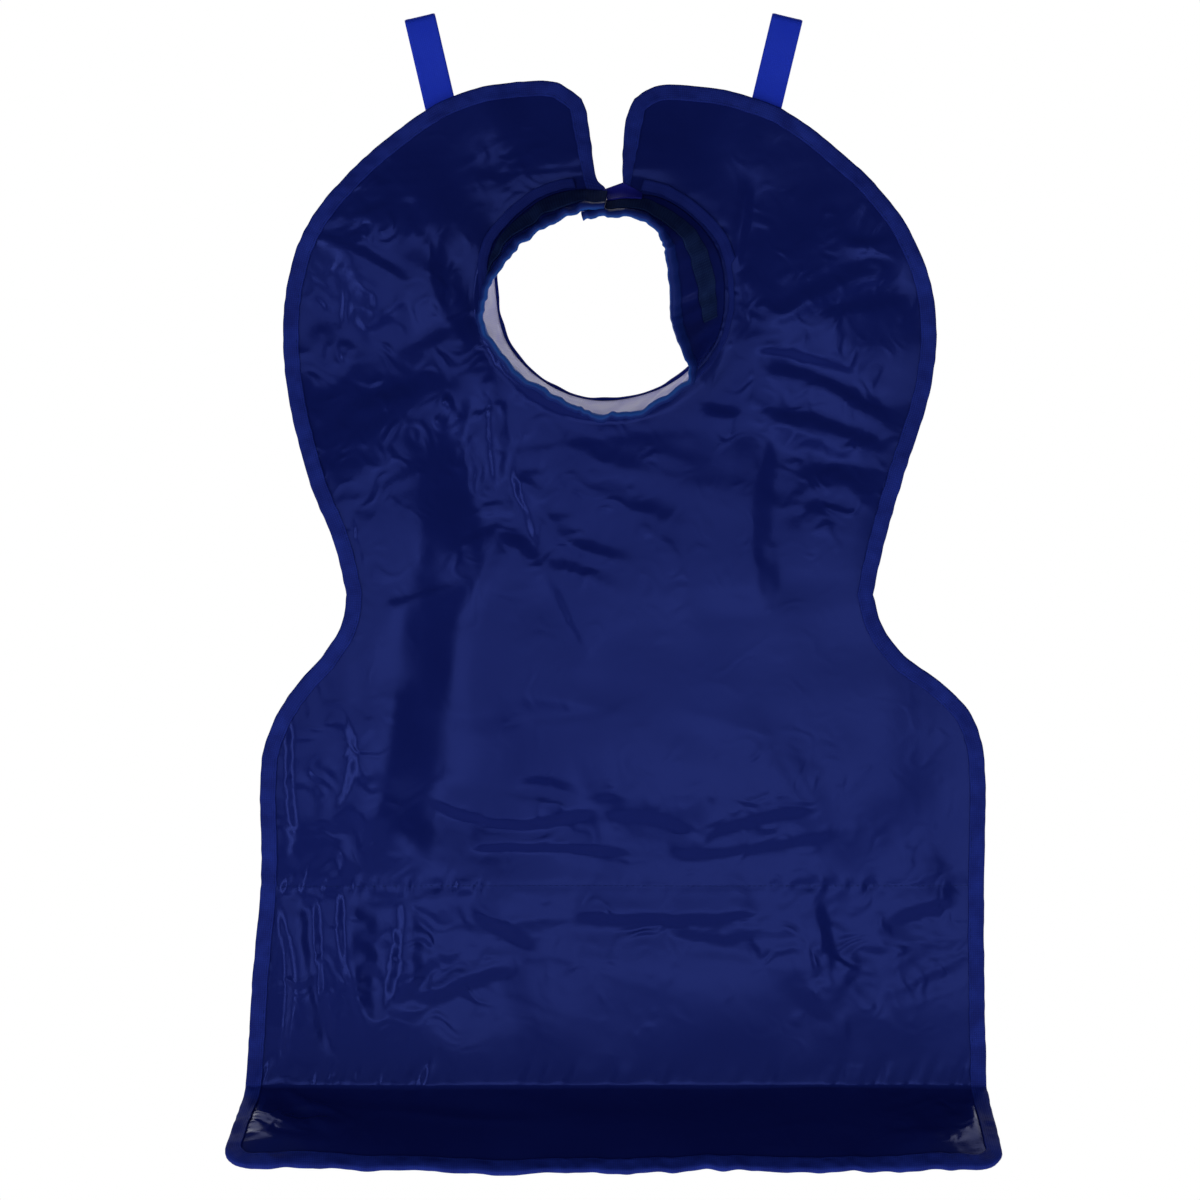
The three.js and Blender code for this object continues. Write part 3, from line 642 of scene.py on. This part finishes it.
def loft(name, sections, material, across=None, run=None):
    """A closed solid through closed sections, with cloth coordinates along and across it."""
    n, m = sections.shape[:2]
    ids = np.arange(n * m).reshape(n, m)
    over = np.roll(ids, -1, axis=1)
    quads = np.stack([ids[:-1], over[:-1], over[1:], ids[1:]], -1).reshape(-1, 4)
    faces = quads.tolist() + [ids[0, ::-1].tolist(), ids[-1].tolist()]
    if run is None:
        run = run_along(sections.mean(1))
    if across is None:
        across = run_along(sections[n // 2])
    uv = np.stack(np.broadcast_arrays(run[:, None], across[None, :]), -1).reshape(-1, 2)
    obj = mesh_piece(name, sections.reshape(-1, 3), faces, material, uv)
    fix = bmesh.new()
    fix.from_mesh(obj.data)
    bmesh.ops.recalc_face_normals(fix, faces=fix.faces)
    fix.to_mesh(obj.data)
    fix.free()
    return obj


# Materials

def linear(hex_colour):
    """Linear RGBA from an sRGB hex colour."""
    parts = [int(hex_colour[i:i + 2], 16) / 255 for i in (1, 3, 5)]
    return [c / 12.92 if c <= 0.04045 else ((c + 0.055) / 1.055) ** 2.4 for c in parts] + [1.0]


def add_node(tree, kind, inputs=(), **settings):
    """A node with its settings, and its inputs set to values or linked to sockets or nodes."""
    node = tree.nodes.new(kind)
    for name, value in settings.items():
        setattr(node, name, value)
    for name, value in dict(inputs).items():
        if isinstance(value, bpy.types.Node):
            value = value.outputs[0]
        if isinstance(value, bpy.types.NodeSocket):
            tree.links.new(value, node.inputs[name])
        else:
            node.inputs[name].default_value = value
    return node


def new_material(name):
    """A material without nodes, and its tree."""
    material = bpy.data.materials.new(name)
    material.use_nodes = True
    material.node_tree.nodes.clear()
    return material, material.node_tree


def finish_material(tree, inputs):
    """The surface shader with its inputs, joined to the output."""
    shader = add_node(tree, "ShaderNodeBsdfPrincipled", inputs)
    add_node(tree, "ShaderNodeOutputMaterial", {"Surface": shader})


def noise(tree, place, size, detail, distortion=0.0, **settings):
    """Noise with patches of a size in millimetres."""
    inputs = {"Vector": place, "Scale": 1 / (size * MM), "Detail": detail, "Distortion": distortion}
    return add_node(tree, "ShaderNodeTexNoise", inputs, **settings)


def ranged(tree, value, from_ends=(0, 1), to_ends=(0, 1)):
    """A value brought from one range to another."""
    names = "From Min", "From Max", "To Min", "To Max"
    return add_node(tree, "ShaderNodeMapRange", {"Value": value, **dict(zip(names, (*from_ends, *to_ends)))})


def combined(tree, operation, first, second):
    """Two values added or multiplied."""
    return add_node(tree, "ShaderNodeMath", {0: first, 1: second}, operation=operation)


def bumped(tree, height, strength, depth, **under):
    """A bump of a depth in millimetres."""
    inputs = {"Height": height, "Strength": strength, "Distance": depth * MM, **under}
    return add_node(tree, "ShaderNodeBump", inputs)


def blended(tree, share, low, high):
    """A colour between two sRGB hex colours."""
    colours = {6: linear(low), 7: linear(high)}
    return add_node(tree, "ShaderNodeMix", {0: share, **colours}, data_type="RGBA").outputs[2]


def satin_vinyl():
    # Calendered PVC on cloth: a smooth dark skin with a fine pressed grain, so its highlights are broad and
    # soft, and it crinkles where it was handled. The grain is drawn coarser than real, so that it shows
    material, tree = new_material("satin_vinyl")
    place = add_node(tree, "ShaderNodeTexCoord").outputs["Object"]
    tone = noise(tree, place, VINYL.tone, detail=3.0)
    scuff = noise(tree, place, VINYL.scuff, detail=5.0)
    ripple = noise(tree, place, VINYL.crinkle, detail=2.5, distortion=1.2, noise_type="RIDGED_MULTIFRACTAL")
    handled = add_node(tree, "ShaderNodeAttribute", attribute_name="crumpled").outputs["Fac"]
    crinkle = combined(tree, "MULTIPLY", ripple, handled)
    soft = bumped(tree, crinkle, strength=1.0, depth=VINYL.crinkle_depth)
    cells = {"Vector": place, "Scale": 1 / (VINYL.grain * MM)}
    grain = add_node(tree, "ShaderNodeTexVoronoi", cells, feature="SMOOTH_F1")
    finish_material(tree, {
        "Base Color": blended(tree, tone, "#172272", "#1b297e"),
        "Roughness": ranged(tree, scuff, to_ends=(0.15, 0.21)),
        "IOR": 1.5,
        "Specular Tint": linear("#6c84ff"),
        "Normal": bumped(tree, grain, strength=0.1, depth=VINYL.grain_depth, Normal=soft),
    })
    return material


def woven(name, low, high, yarn=1.8, rough=0.6, relief=0.4, gloss=0.08, sheen=0.0, painted_light_from=None):
    # Plain weave: threads over and under each other, so a matt face with a fine check of light and shade, and
    # a dye that took unevenly. The threads are drawn coarser than real, so that they show
    material, tree = new_material(name)
    place = add_node(tree, "ShaderNodeTexCoord").outputs["UV"]
    wave = {"Vector": place, "Scale": 2 * math.pi / (yarn * MM) / WAVE_TURN,
            "Distortion": WEAVE.wobble, "Detail Scale": WEAVE.wobble_scale}
    warp, weft = (add_node(tree, "ShaderNodeTexWave", wave, bands_direction=way).outputs[1] for way in "XY")
    weave = combined(tree, "MULTIPLY", warp, weft)
    tone = noise(tree, place, WEAVE.dye, detail=4.0)
    dye = ranged(tree, tone, from_ends=WEAVE.dye_ends)
    # Half of the colour is the weave's check, painted shade of the threads over and under each other; the
    # other half is the dye
    blend = combined(tree, "MULTIPLY", combined(tree, "ADD", weave, dye), 0.5)
    # Given a turn, the colour runs across the tape from low to high instead: painted shade on the leg before
    # the turn, painted light on the leg after it
    if painted_light_from:
        over = add_node(tree, "ShaderNodeSeparateXYZ", {0: place}).outputs["Y"]
        blend = ranged(tree, over, from_ends=[at * MM for at in painted_light_from])
    finish_material(tree, {
        "Base Color": blended(tree, blend, low, high),
        "Roughness": ranged(tree, tone, to_ends=(rough - WEAVE.uneven, rough + WEAVE.uneven)),
        "Specular IOR Level": gloss,
        "Sheen Weight": sheen,
        "Sheen Roughness": 0.4,
        "Sheen Tint": linear(high),
        "Normal": bumped(tree, weave, relief, WEAVE.depth),
    })
    return material


vinyl = satin_vinyl()
# Cotton bias tape: matt, with a dye a shade brighter than the vinyl's
binding_tape = woven("bias_tape", "#1b2a88", "#2d44ba")
# Seam tape: the same cotton, its colour darker than the edge tape's as painted shade of the collar round the
# neck
seam_cover_painted_shade = woven("seam_tape", "#1b2a84", "#263799", gloss=0.06)
# Folded tape: hardly faded, so its colour is full and even
tab_tape = woven("folded_tape", "#2a2eae", "#3438c4")
# Ruffled tape: a smoother yarn; its outer leg is painted dark as painted shade, and from the turn inwards it
# is painted bright as painted light from behind the collar
bright_tape = woven("ruffled_tape", "#18308a", "#2a62c8", rough=0.5, gloss=0.15, painted_light_from=(11.5, 14))
# Lining cloth: thin and pale, and its raised fibres catch the light; its wide spread from lilac to white in
# soft patches is painted shade of its gathers
white_lining = woven("lining_cloth", "#c6c4ff", "#f6f4ff", yarn=1.6, rough=0.8, relief=0.3, gloss=0.1,
                     sheen=1.0)
# Hook and loop tape: a dense dark pile that swallows highlights; round the collar's upper left it also stands
# as painted shade
pile_strip = woven("hook_and_loop", "#19295c", "#2b427c", yarn=2.2, rough=0.95, relief=0.7, gloss=0.02)
# Polyester webbing: blue filament yarn with a soft sheen; its blue, pushed to the brightest, is partly its
# dye and partly painted light shining through the thin webbing from behind
webbing = woven("polyester_webbing", "#2848ff", "#3050ff", yarn=1.6, rough=0.5, relief=0.25, sheen=0.8)
# Sewing thread: twisted, and a little darker than the tape round it
thread = woven("sewing_thread", "#122870", "#1c388c", yarn=0.8, rough=0.5, relief=0.2, gloss=0.1)


# Panel

def apron_panel():
    """The panel's wall: a fine front, a back with every second line, and the rim between them."""
    fine, quads = welded(flat_grids)
    coarse, wide_quads = welded([g[::2, ::2] for g in flat_grids])
    front, back = hang(fine, PANEL_WALL / 2), hang(coarse, -PANEL_WALL / 2)
    behind = len(front)
    place = {tuple(p): i for i, p in enumerate(np.round(fine, WELD_DIGITS))}
    ahead = rim_steps(quads)
    faces = quads.tolist() + (behind + wide_quads[:, ::-1]).tolist()
    for p, q in rim_steps(wide_quads).items():
        a, b = (place[tuple(np.round(coarse[k], WELD_DIGITS))] for k in (p, q))
        middle = ahead[a]
        faces += [[middle, a, behind + p], [b, middle, behind + q], [middle, behind + p, behind + q]]
    sheet = mesh_piece("vinyl_panel", np.vstack([front, back]), faces, vinyl)
    crumpled = sheet.data.attributes.new("crumpled", "FLOAT", "POINT")
    crumpled.data.foreach_set("value", handling(np.vstack([fine, coarse])))
    return sheet


# Edge binding

TAPE_OUT = PANEL_WALL / 2 + GAP + TAPE_WALL
TAPE_IN = PANEL_WALL / 2 + GAP


def edge_binding():
    """Tape folded over the edge, puckered where it is eased round the curves."""
    count = 2 * (len(edge) - 3)
    rim, inner = (even_pairs(line, count) for line in (edge[1:-1], inset[1:-1]))
    run = run_along(rim)
    puff, wave = waves("binding_puff", run), waves("binding_edge", run)
    rows = []
    for share, swell in BINDING_LEG:
        crown = BINDING.crown * min(share * BINDING.crown_at, 1)
        out = TAPE_OUT + crown + swell * puff + BINDING.clear
        rows.append(place_on_edge(rim, inner, share, out, wave * (1 - share) * BINDING.leg_wave))
    for turn in np.linspace(0, math.pi, BINDING.rim_points):
        beyond = TAPE_OUT * math.sin(turn) * BINDING.rim_depth + wave * BINDING.rim_wave
        rows.append(place_on_edge(rim, inner, 1, TAPE_OUT * math.cos(turn), beyond))
    for share, swell in BINDING_LEG[::-1]:
        out = -(TAPE_OUT + BINDING.clear) + swell * puff[::-1] * BINDING.back_puff
        rows.append(place_on_edge(rim, inner, share, out, wave * (1 - share) * BINDING.leg_wave))
    for share, side in BINDING_CORE:
        rows.append(place_on_edge(rim, inner, share, side * TAPE_IN, 0))
    return loft("edge_tape", np.stack(rows, axis=1), binding_tape, run=run), rim, inner


def even_pairs(line, count):
    """The line with more stations, keeping its pairs with the other line."""
    at = np.linspace(0, len(line) - 1, count + 1)
    return np.column_stack([np.interp(at, np.arange(len(line)), line[:, k]) for k in range(2)])


def place_on_edge(rim, inner, t, out, beyond):
    """A row of points on the binding: share from its inner edge to the rim, height, and distance past it."""
    flat = inner + (rim - inner) * t + unit(rim - inner) * np.broadcast_to(beyond, len(rim))[:, None]
    return hang(flat, np.broadcast_to(out, len(rim)))


# Collar

def collar_line(station):
    """The collar's sewing face at a station: its foot, and how it stands to its free edge."""
    angle = station * COLLAR_STEP
    sink = CLOSURE_SINK * smoothstep(station, *SINK_STATIONS)
    base = neck_point(angle, COLLAR_SEAT - sink)
    free = collar_row(COLLAR_FREE, angle)
    free = free + unit(np.array((NECK.x, NECK.s)) - free) * sink[..., None]
    lean = free - base
    forward = np.sqrt(COLLAR_HEIGHT**2 - (lean**2).sum(-1))
    foot = np.stack([base[..., 0], np.full(angle.shape, FRONT_Y - GAP), -base[..., 1]], -1)
    return foot, np.stack([lean[..., 0], -forward, -lean[..., 1]], -1)


def collar_point(station, share, out):
    """A point of the collar: share of its height, and distance outward from the sewing face."""
    station, share, out = np.broadcast_arrays(*(np.asarray(v, float) for v in (station, share, out)))
    foot, up = collar_line(station)
    ahead_foot, ahead_up = collar_line(station + STATION_REACH)
    behind_foot, behind_up = collar_line(station - STATION_REACH)
    round_it = ahead_foot + ahead_up * share[..., None] - behind_foot - behind_up * share[..., None]
    normal = unit(np.cross(round_it, up))
    run = station * STATION_RUN
    near_edge = bell((1 - share) * COLLAR_HEIGHT / RUFFLE.reach)
    ruffle = waves("collar_ruffle", run) * near_edge * smoothstep(station, *RUFFLE.grows)
    gather = waves("collar_gather", run) * np.sin(np.clip(share, 0, 1) * math.pi)
    point = foot + up * share[..., None] + normal * (out + ruffle + gather)[..., None]
    point[..., 1] = np.minimum(point[..., 1], FRONT_Y - GAP)
    return point


def collar_sheet(name, stations, shares, inner, outer, material):
    """A sheet of the collar between two distances outward from its sewing face."""
    cells = int((stations[1] - stations[0]) * COLLAR_CELLS.per_station)
    station = np.linspace(*stations, cells + 1)[:, None]
    low, high = (np.interp(station, stations, ends) for ends in zip(*shares))
    share = low + (high - low) * np.linspace(0, 1, COLLAR_CELLS.up + 1)[None, :]
    front, back = collar_point(station, share, outer), collar_point(station, share[:, ::-1], inner)
    return loft(name, np.concatenate([front, back], axis=1), material)


def collar_edge_tape():
    """Tape folded over the collar's free edge, scalloped by the ruffles."""
    station = np.linspace(*COLLAR_TIPS, COLLAR_CELLS.edge_tape + 1)
    run = station * STATION_RUN
    scallop, puff = waves("collar_scallop", run), waves("collar_tape_puff", run)
    outer, inner = COLLAR_WALL + GAP, -(2 * GAP + LINING_WALL)
    loose = COLLAR_TAPE_TURN.stand
    low, high = COLLAR_TAPE_CORE
    rows = []
    for drop, stand, share in COLLAR_TAPE_OUTER:
        rows.append((drop + scallop * share, outer + stand + puff * (stand > 0)))
    for share in COLLAR_TAPE_TURN.shares:
        rows.append((-COLLAR_TAPE_TURN.above, outer + loose - (outer - inner + 2 * loose) * (1 - share)))
    for drop, stand, share in COLLAR_TAPE_INNER:
        rows.append((drop + scallop * share, inner - stand - puff * (stand > 0)))
    rows += [(low, inner), (high, inner), (high, outer), (low, outer)]
    sections = np.stack([collar_point(station, 1 - drop / COLLAR_HEIGHT, out) for drop, out in rows], axis=1)
    return loft("collar_edge_tape", sections, bright_tape, run=run)


# Neck seam tape, closure tab

def neck_seam_tape():
    """Flat tape over the seam round the neck, narrow in the middle of its run."""
    station = np.linspace(*SEAM_TAPE.stations, COLLAR_CELLS.seam_tape + 1)
    angle = station * COLLAR_STEP
    width = SEAM_TAPE.width - SEAM_TAPE.narrower * smoothstep(station, *SEAM_TAPE.narrows_at)
    width += SEAM_TAPE.wider * smoothstep(station, *SEAM_TAPE.widens_at)
    edge_wave, puff = waves("seam_tape_edge", angle), waves("seam_tape_puff", angle)
    rows = []
    for share, stand in SEAM_TAPE_SECTION:
        flat = neck_point(angle, SEAM_TAPE.from_neck + share * width + edge_wave)
        lift = GAP + stand + puff * (stand > SEAM_TAPE.puffs_above)
        rows.append(np.column_stack([flat[:, 0], FRONT_Y - lift, -flat[:, 1]]))
    return loft("neck_tape", np.stack(rows, axis=1), seam_cover_painted_shade)


def closure_tab():
    """A folded triangle of tape from the panel, over the seam, on to the collar's outer face."""
    top = even_steps(np.array(TAB.top, float), TAB_CELLS.across)
    station = np.linspace(*TAB.stations, len(top))
    v = np.linspace(0, 1, TAB_CELLS.down + 1)[None, :, None]
    faces = []
    for lift in (TAPE_WALL, 0):
        out = COLLAR_WALL + GAP + STRIP_WALL + GAP + lift
        above_y = np.full(len(top), FRONT_Y - TAB.clear - lift)
        above = np.column_stack([top[:, 0], above_y, -top[:, 1]])[:, None]
        foot = collar_point(station, TAB.foot, out)[:, None]
        low = collar_point(station, TAB.share, out)[:, None]
        faces.append(above * (1 - v) ** 2 + foot * 2 * v * (1 - v) + low * v**2)
    return loft("fold_tab", np.concatenate([faces[0], faces[1][:, ::-1]], axis=1), tab_tape)


# Hanging loops

def hang_loop(name, top_x, lean):
    """Doubled webbing: sewn flat below, open round a hole at its top, and ribbed near its edges."""
    hole, join, half = LOOP.hole, LOOP.join, WEBBING_WALL / 2
    arc = np.linspace(0, math.pi, LOOP_CELLS.arc)
    radius = hole + half
    sewn = np.linspace(-LOOP.length, -join, LOOP_CELLS.sewn)
    side = np.linspace(-join, -hole, LOOP_CELLS.side)[1:-1]
    flare = half + (radius - half) * smoothstep(side, -join, -hole)
    back = np.column_stack([np.r_[np.full(len(sewn), half), flare], np.r_[sewn, side]])
    top = np.column_stack([radius * np.cos(arc), -hole + radius * np.sin(arc)])
    path = even_steps(np.vstack([back, top, back[::-1] * (-1, 1)]), LOOP_CELLS.run)
    along = unit(np.gradient(path, axis=0))
    normal = np.column_stack([along[:, 1], -along[:, 0]])
    over = np.linspace(-1, 1, LOOP_CELLS.across)
    across = np.concatenate([over, over[::-1]])
    face = np.repeat([WEBBING.face, -WEBBING.face], len(over))
    thick = half * face * (1 - WEBBING.edge * np.abs(across) ** WEBBING.edge_power)
    rib = bell((np.abs(over) - WEBBING.rib_at) / WEBBING.rib_reach)
    thick[:len(over)] += WEBBING.rib * rib * half
    local = path[:, None] + normal[:, None] * thick[None, :, None]
    across = across * LOOP.width / 2
    x = np.broadcast_to(across, local.shape[:2])
    y, z = local[..., 0], local[..., 1]
    sin, cos = math.sin(lean), math.cos(lean)
    points = np.stack([top_x + x * cos + z * sin, y, z * cos - x * sin], -1)
    return loft(f"webbing_{name}", points, webbing, across=across)


# Stitches

def stitch_tree():
    """Geometry nodes that lay stitches of a given length along a line, one at each pitch."""
    tree = bpy.data.node_groups.new("stitch_row", "GeometryNodeTree")
    tree.interface.new_socket("Geometry", in_out="INPUT", socket_type="NodeSocketGeometry")
    for name in EDGE_STITCH:
        tree.interface.new_socket(name, in_out="INPUT", socket_type="NodeSocketFloat")
    tree.interface.new_socket("Thread", in_out="INPUT", socket_type="NodeSocketMaterial")
    tree.interface.new_socket("Geometry", in_out="OUTPUT", socket_type="NodeSocketGeometry")
    given = add_node(tree, "NodeGroupInput").outputs
    line = add_node(tree, "GeometryNodeMeshToCurve", {"Mesh": given["Geometry"]})
    spaced = add_node(tree, "GeometryNodeResampleCurve", {"Curve": line, "Length": given["Pitch"]},
                      mode="LENGTH")
    tangent = add_node(tree, "GeometryNodeInputTangent")
    turn = add_node(tree, "FunctionNodeAlignRotationToVector", {"Vector": tangent}, axis="X")
    bead = add_node(tree, "GeometryNodeMeshUVSphere", STITCH_BEAD)
    thick = given["Thickness"]
    size = add_node(tree, "ShaderNodeCombineXYZ", {0: given["Length"], 1: thick, 2: thick})
    placed = {"Points": spaced, "Instance": bead, "Rotation": turn, "Scale": size}
    laid = add_node(tree, "GeometryNodeInstanceOnPoints", placed)
    real = add_node(tree, "GeometryNodeRealizeInstances", {"Geometry": laid})
    done = add_node(tree, "GeometryNodeSetMaterial", {"Geometry": real, "Material": given["Thread"]})
    add_node(tree, "NodeGroupOutput", {"Geometry": done})
    return tree


def stitches(name, lines, sizes, tree):
    """A plain mesh of stitches along lines of points in millimetres."""
    points = np.vstack(lines)
    starts = np.cumsum([0] + [len(line) for line in lines])
    edges = [(i, i + 1) for a, b in zip(starts, starts[1:]) for i in range(a, b - 1)]
    mesh = bpy.data.meshes.new(name + "_path")
    mesh.from_pydata((points * MM).tolist(), edges, [])
    path = new_object(name + "_path", mesh)
    sewing = path.modifiers.new("sewing", "NODES")
    sewing.node_group = tree
    sockets = {s.name: s.identifier for s in tree.interface.items_tree if s.in_out == "INPUT"}
    for key, size in sizes.items():
        sewing[sockets[key]] = size * MM
    sewing[sockets["Thread"]] = thread
    bpy.context.view_layer.update()
    sewn = bpy.data.meshes.new_from_object(path.evaluated_get(bpy.context.evaluated_depsgraph_get()))
    sewn.name = name
    sewn.shade_smooth()
    bpy.data.objects.remove(path)
    return new_object(name, sewn)


panel = apron_panel()
edge_tape, rim_line, inner_line = edge_binding()
whole = ((0, 1), (0, 1))
collar = collar_sheet("collar_vinyl", COLLAR_TIPS, whole, 0, COLLAR_WALL, vinyl)
lining = collar_sheet("collar_lining_cloth", COLLAR_TIPS, whole, -GAP - LINING_WALL, -GAP, white_lining)
collar_tape = collar_edge_tape()
strips = {}
for strip_name, strip in STRIPS.items():
    under = COLLAR_WALL + GAP
    strips[strip_name] = collar_sheet(strip_name + "_pile", strip["stations"], strip["shares"],
                                      under, under + STRIP_WALL, pile_strip)
seam_tape = neck_seam_tape()
tab = closure_tab()
loops = {name: hang_loop(name, *place) for name, place in LOOPS.items()}

sewing_tree = stitch_tree()
stitch_out = TAPE_OUT + STITCH_LIFT
edge_rows = [place_on_edge(rim_line, inner_line, EDGE_ROW_SHARE, out, 0) for out in (stitch_out, -stitch_out)]
edge_stitches = stitches("edge_stitches", edge_rows, EDGE_STITCH, sewing_tree)
seam_x = np.linspace(*SEAM_ROW)
seam_row = hang(np.column_stack([seam_x, np.full(len(seam_x), SEAM_S)]), PANEL_WALL / 2 + STITCH_LIFT)
seam_stitches = stitches("seam_stitches", [seam_row], SEAM_STITCH, sewing_tree)


# Stage: floor, lights, camera

def area_light(name, place, aim, size, power):
    """A soft rectangular light that the camera doesn't see."""
    data = bpy.data.lights.new(name, "AREA")
    data.shape, data.size, data.size_y = "RECTANGLE", size[0], size[1]
    data.energy = power
    lamp = new_object(name, data)
    lamp.location = place
    lamp.rotation_euler = (Vector(aim) - Vector(place)).to_track_quat("-Z", "Y").to_euler()
    lamp.visible_camera = False


for light_name, light in LIGHTS.items():
    area_light(light_name, *light)

world = bpy.data.worlds.new("studio")
bpy.context.scene.world = world
world.use_nodes = True
sky = world.node_tree
sky.nodes.clear()
seen = add_node(sky, "ShaderNodeLightPath").outputs["Is Camera Ray"]
room = add_node(sky, "ShaderNodeBackground", {"Color": ROOM_COLOUR, "Strength": 1.0})
sweep = add_node(sky, "ShaderNodeBackground", {"Color": SWEEP_COLOUR, "Strength": 1.0})
shown = add_node(sky, "ShaderNodeMixShader", {0: seen, 1: room, 2: sweep})
add_node(sky, "ShaderNodeOutputWorld", {"Surface": shown})

floor_material, floor_tree = new_material("matt_white_floor")
finish_material(floor_tree, {"Base Color": linear("#f4f4f4"), "Roughness": 0.9,
                             "Emission Color": linear("#ffffff"), "Emission Strength": 0.3})
side, near, far = FLOOR.side, FLOOR.front, FLOOR.back
floor_corners = [(x, y, FLOOR.z) for x, y in ((-side, near), (side, near), (side, far), (-side, far))]
floor = mesh_piece("floor", floor_corners, [range(4)], floor_material)

camera = bpy.data.cameras.new("camera")
camera.sensor_width = CAMERA.sensor
camera.lens = CAMERA.lens
view = new_object("camera", camera)
view.location = Vector(CAMERA.place) * MM
view.rotation_euler = (math.pi / 2, 0, 0)
bpy.context.scene.camera = view
bpy.context.scene.view_settings.view_transform = "Standard"

# What each piece stands for
made = [
    (panel, "navy_vinyl", ["apron_panel"]),
    (edge_tape, "binding_tape", ["edge_binding"]),
    (collar, "navy_vinyl", ["collar_band"]),
    (lining, "white_lining", ["collar_lining"]),
    (collar_tape, "bright_tape", ["collar_edge_binding"]),
    (seam_tape, "binding_tape", ["neck_seam_tape"]),
    (tab, "binding_tape", ["closure_tab"]),
    (edge_stitches, "binding_tape", []),
    (seam_stitches, "binding_tape", []),
]
made += [(obj, "loop_strip", [node]) for node, obj in strips.items()]
made += [(obj, "blue_webbing", [node]) for node, obj in loops.items()]
for obj, slot_name, nodes in made:
    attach(obj, "root")
    if nodes:
        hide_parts(*nodes)
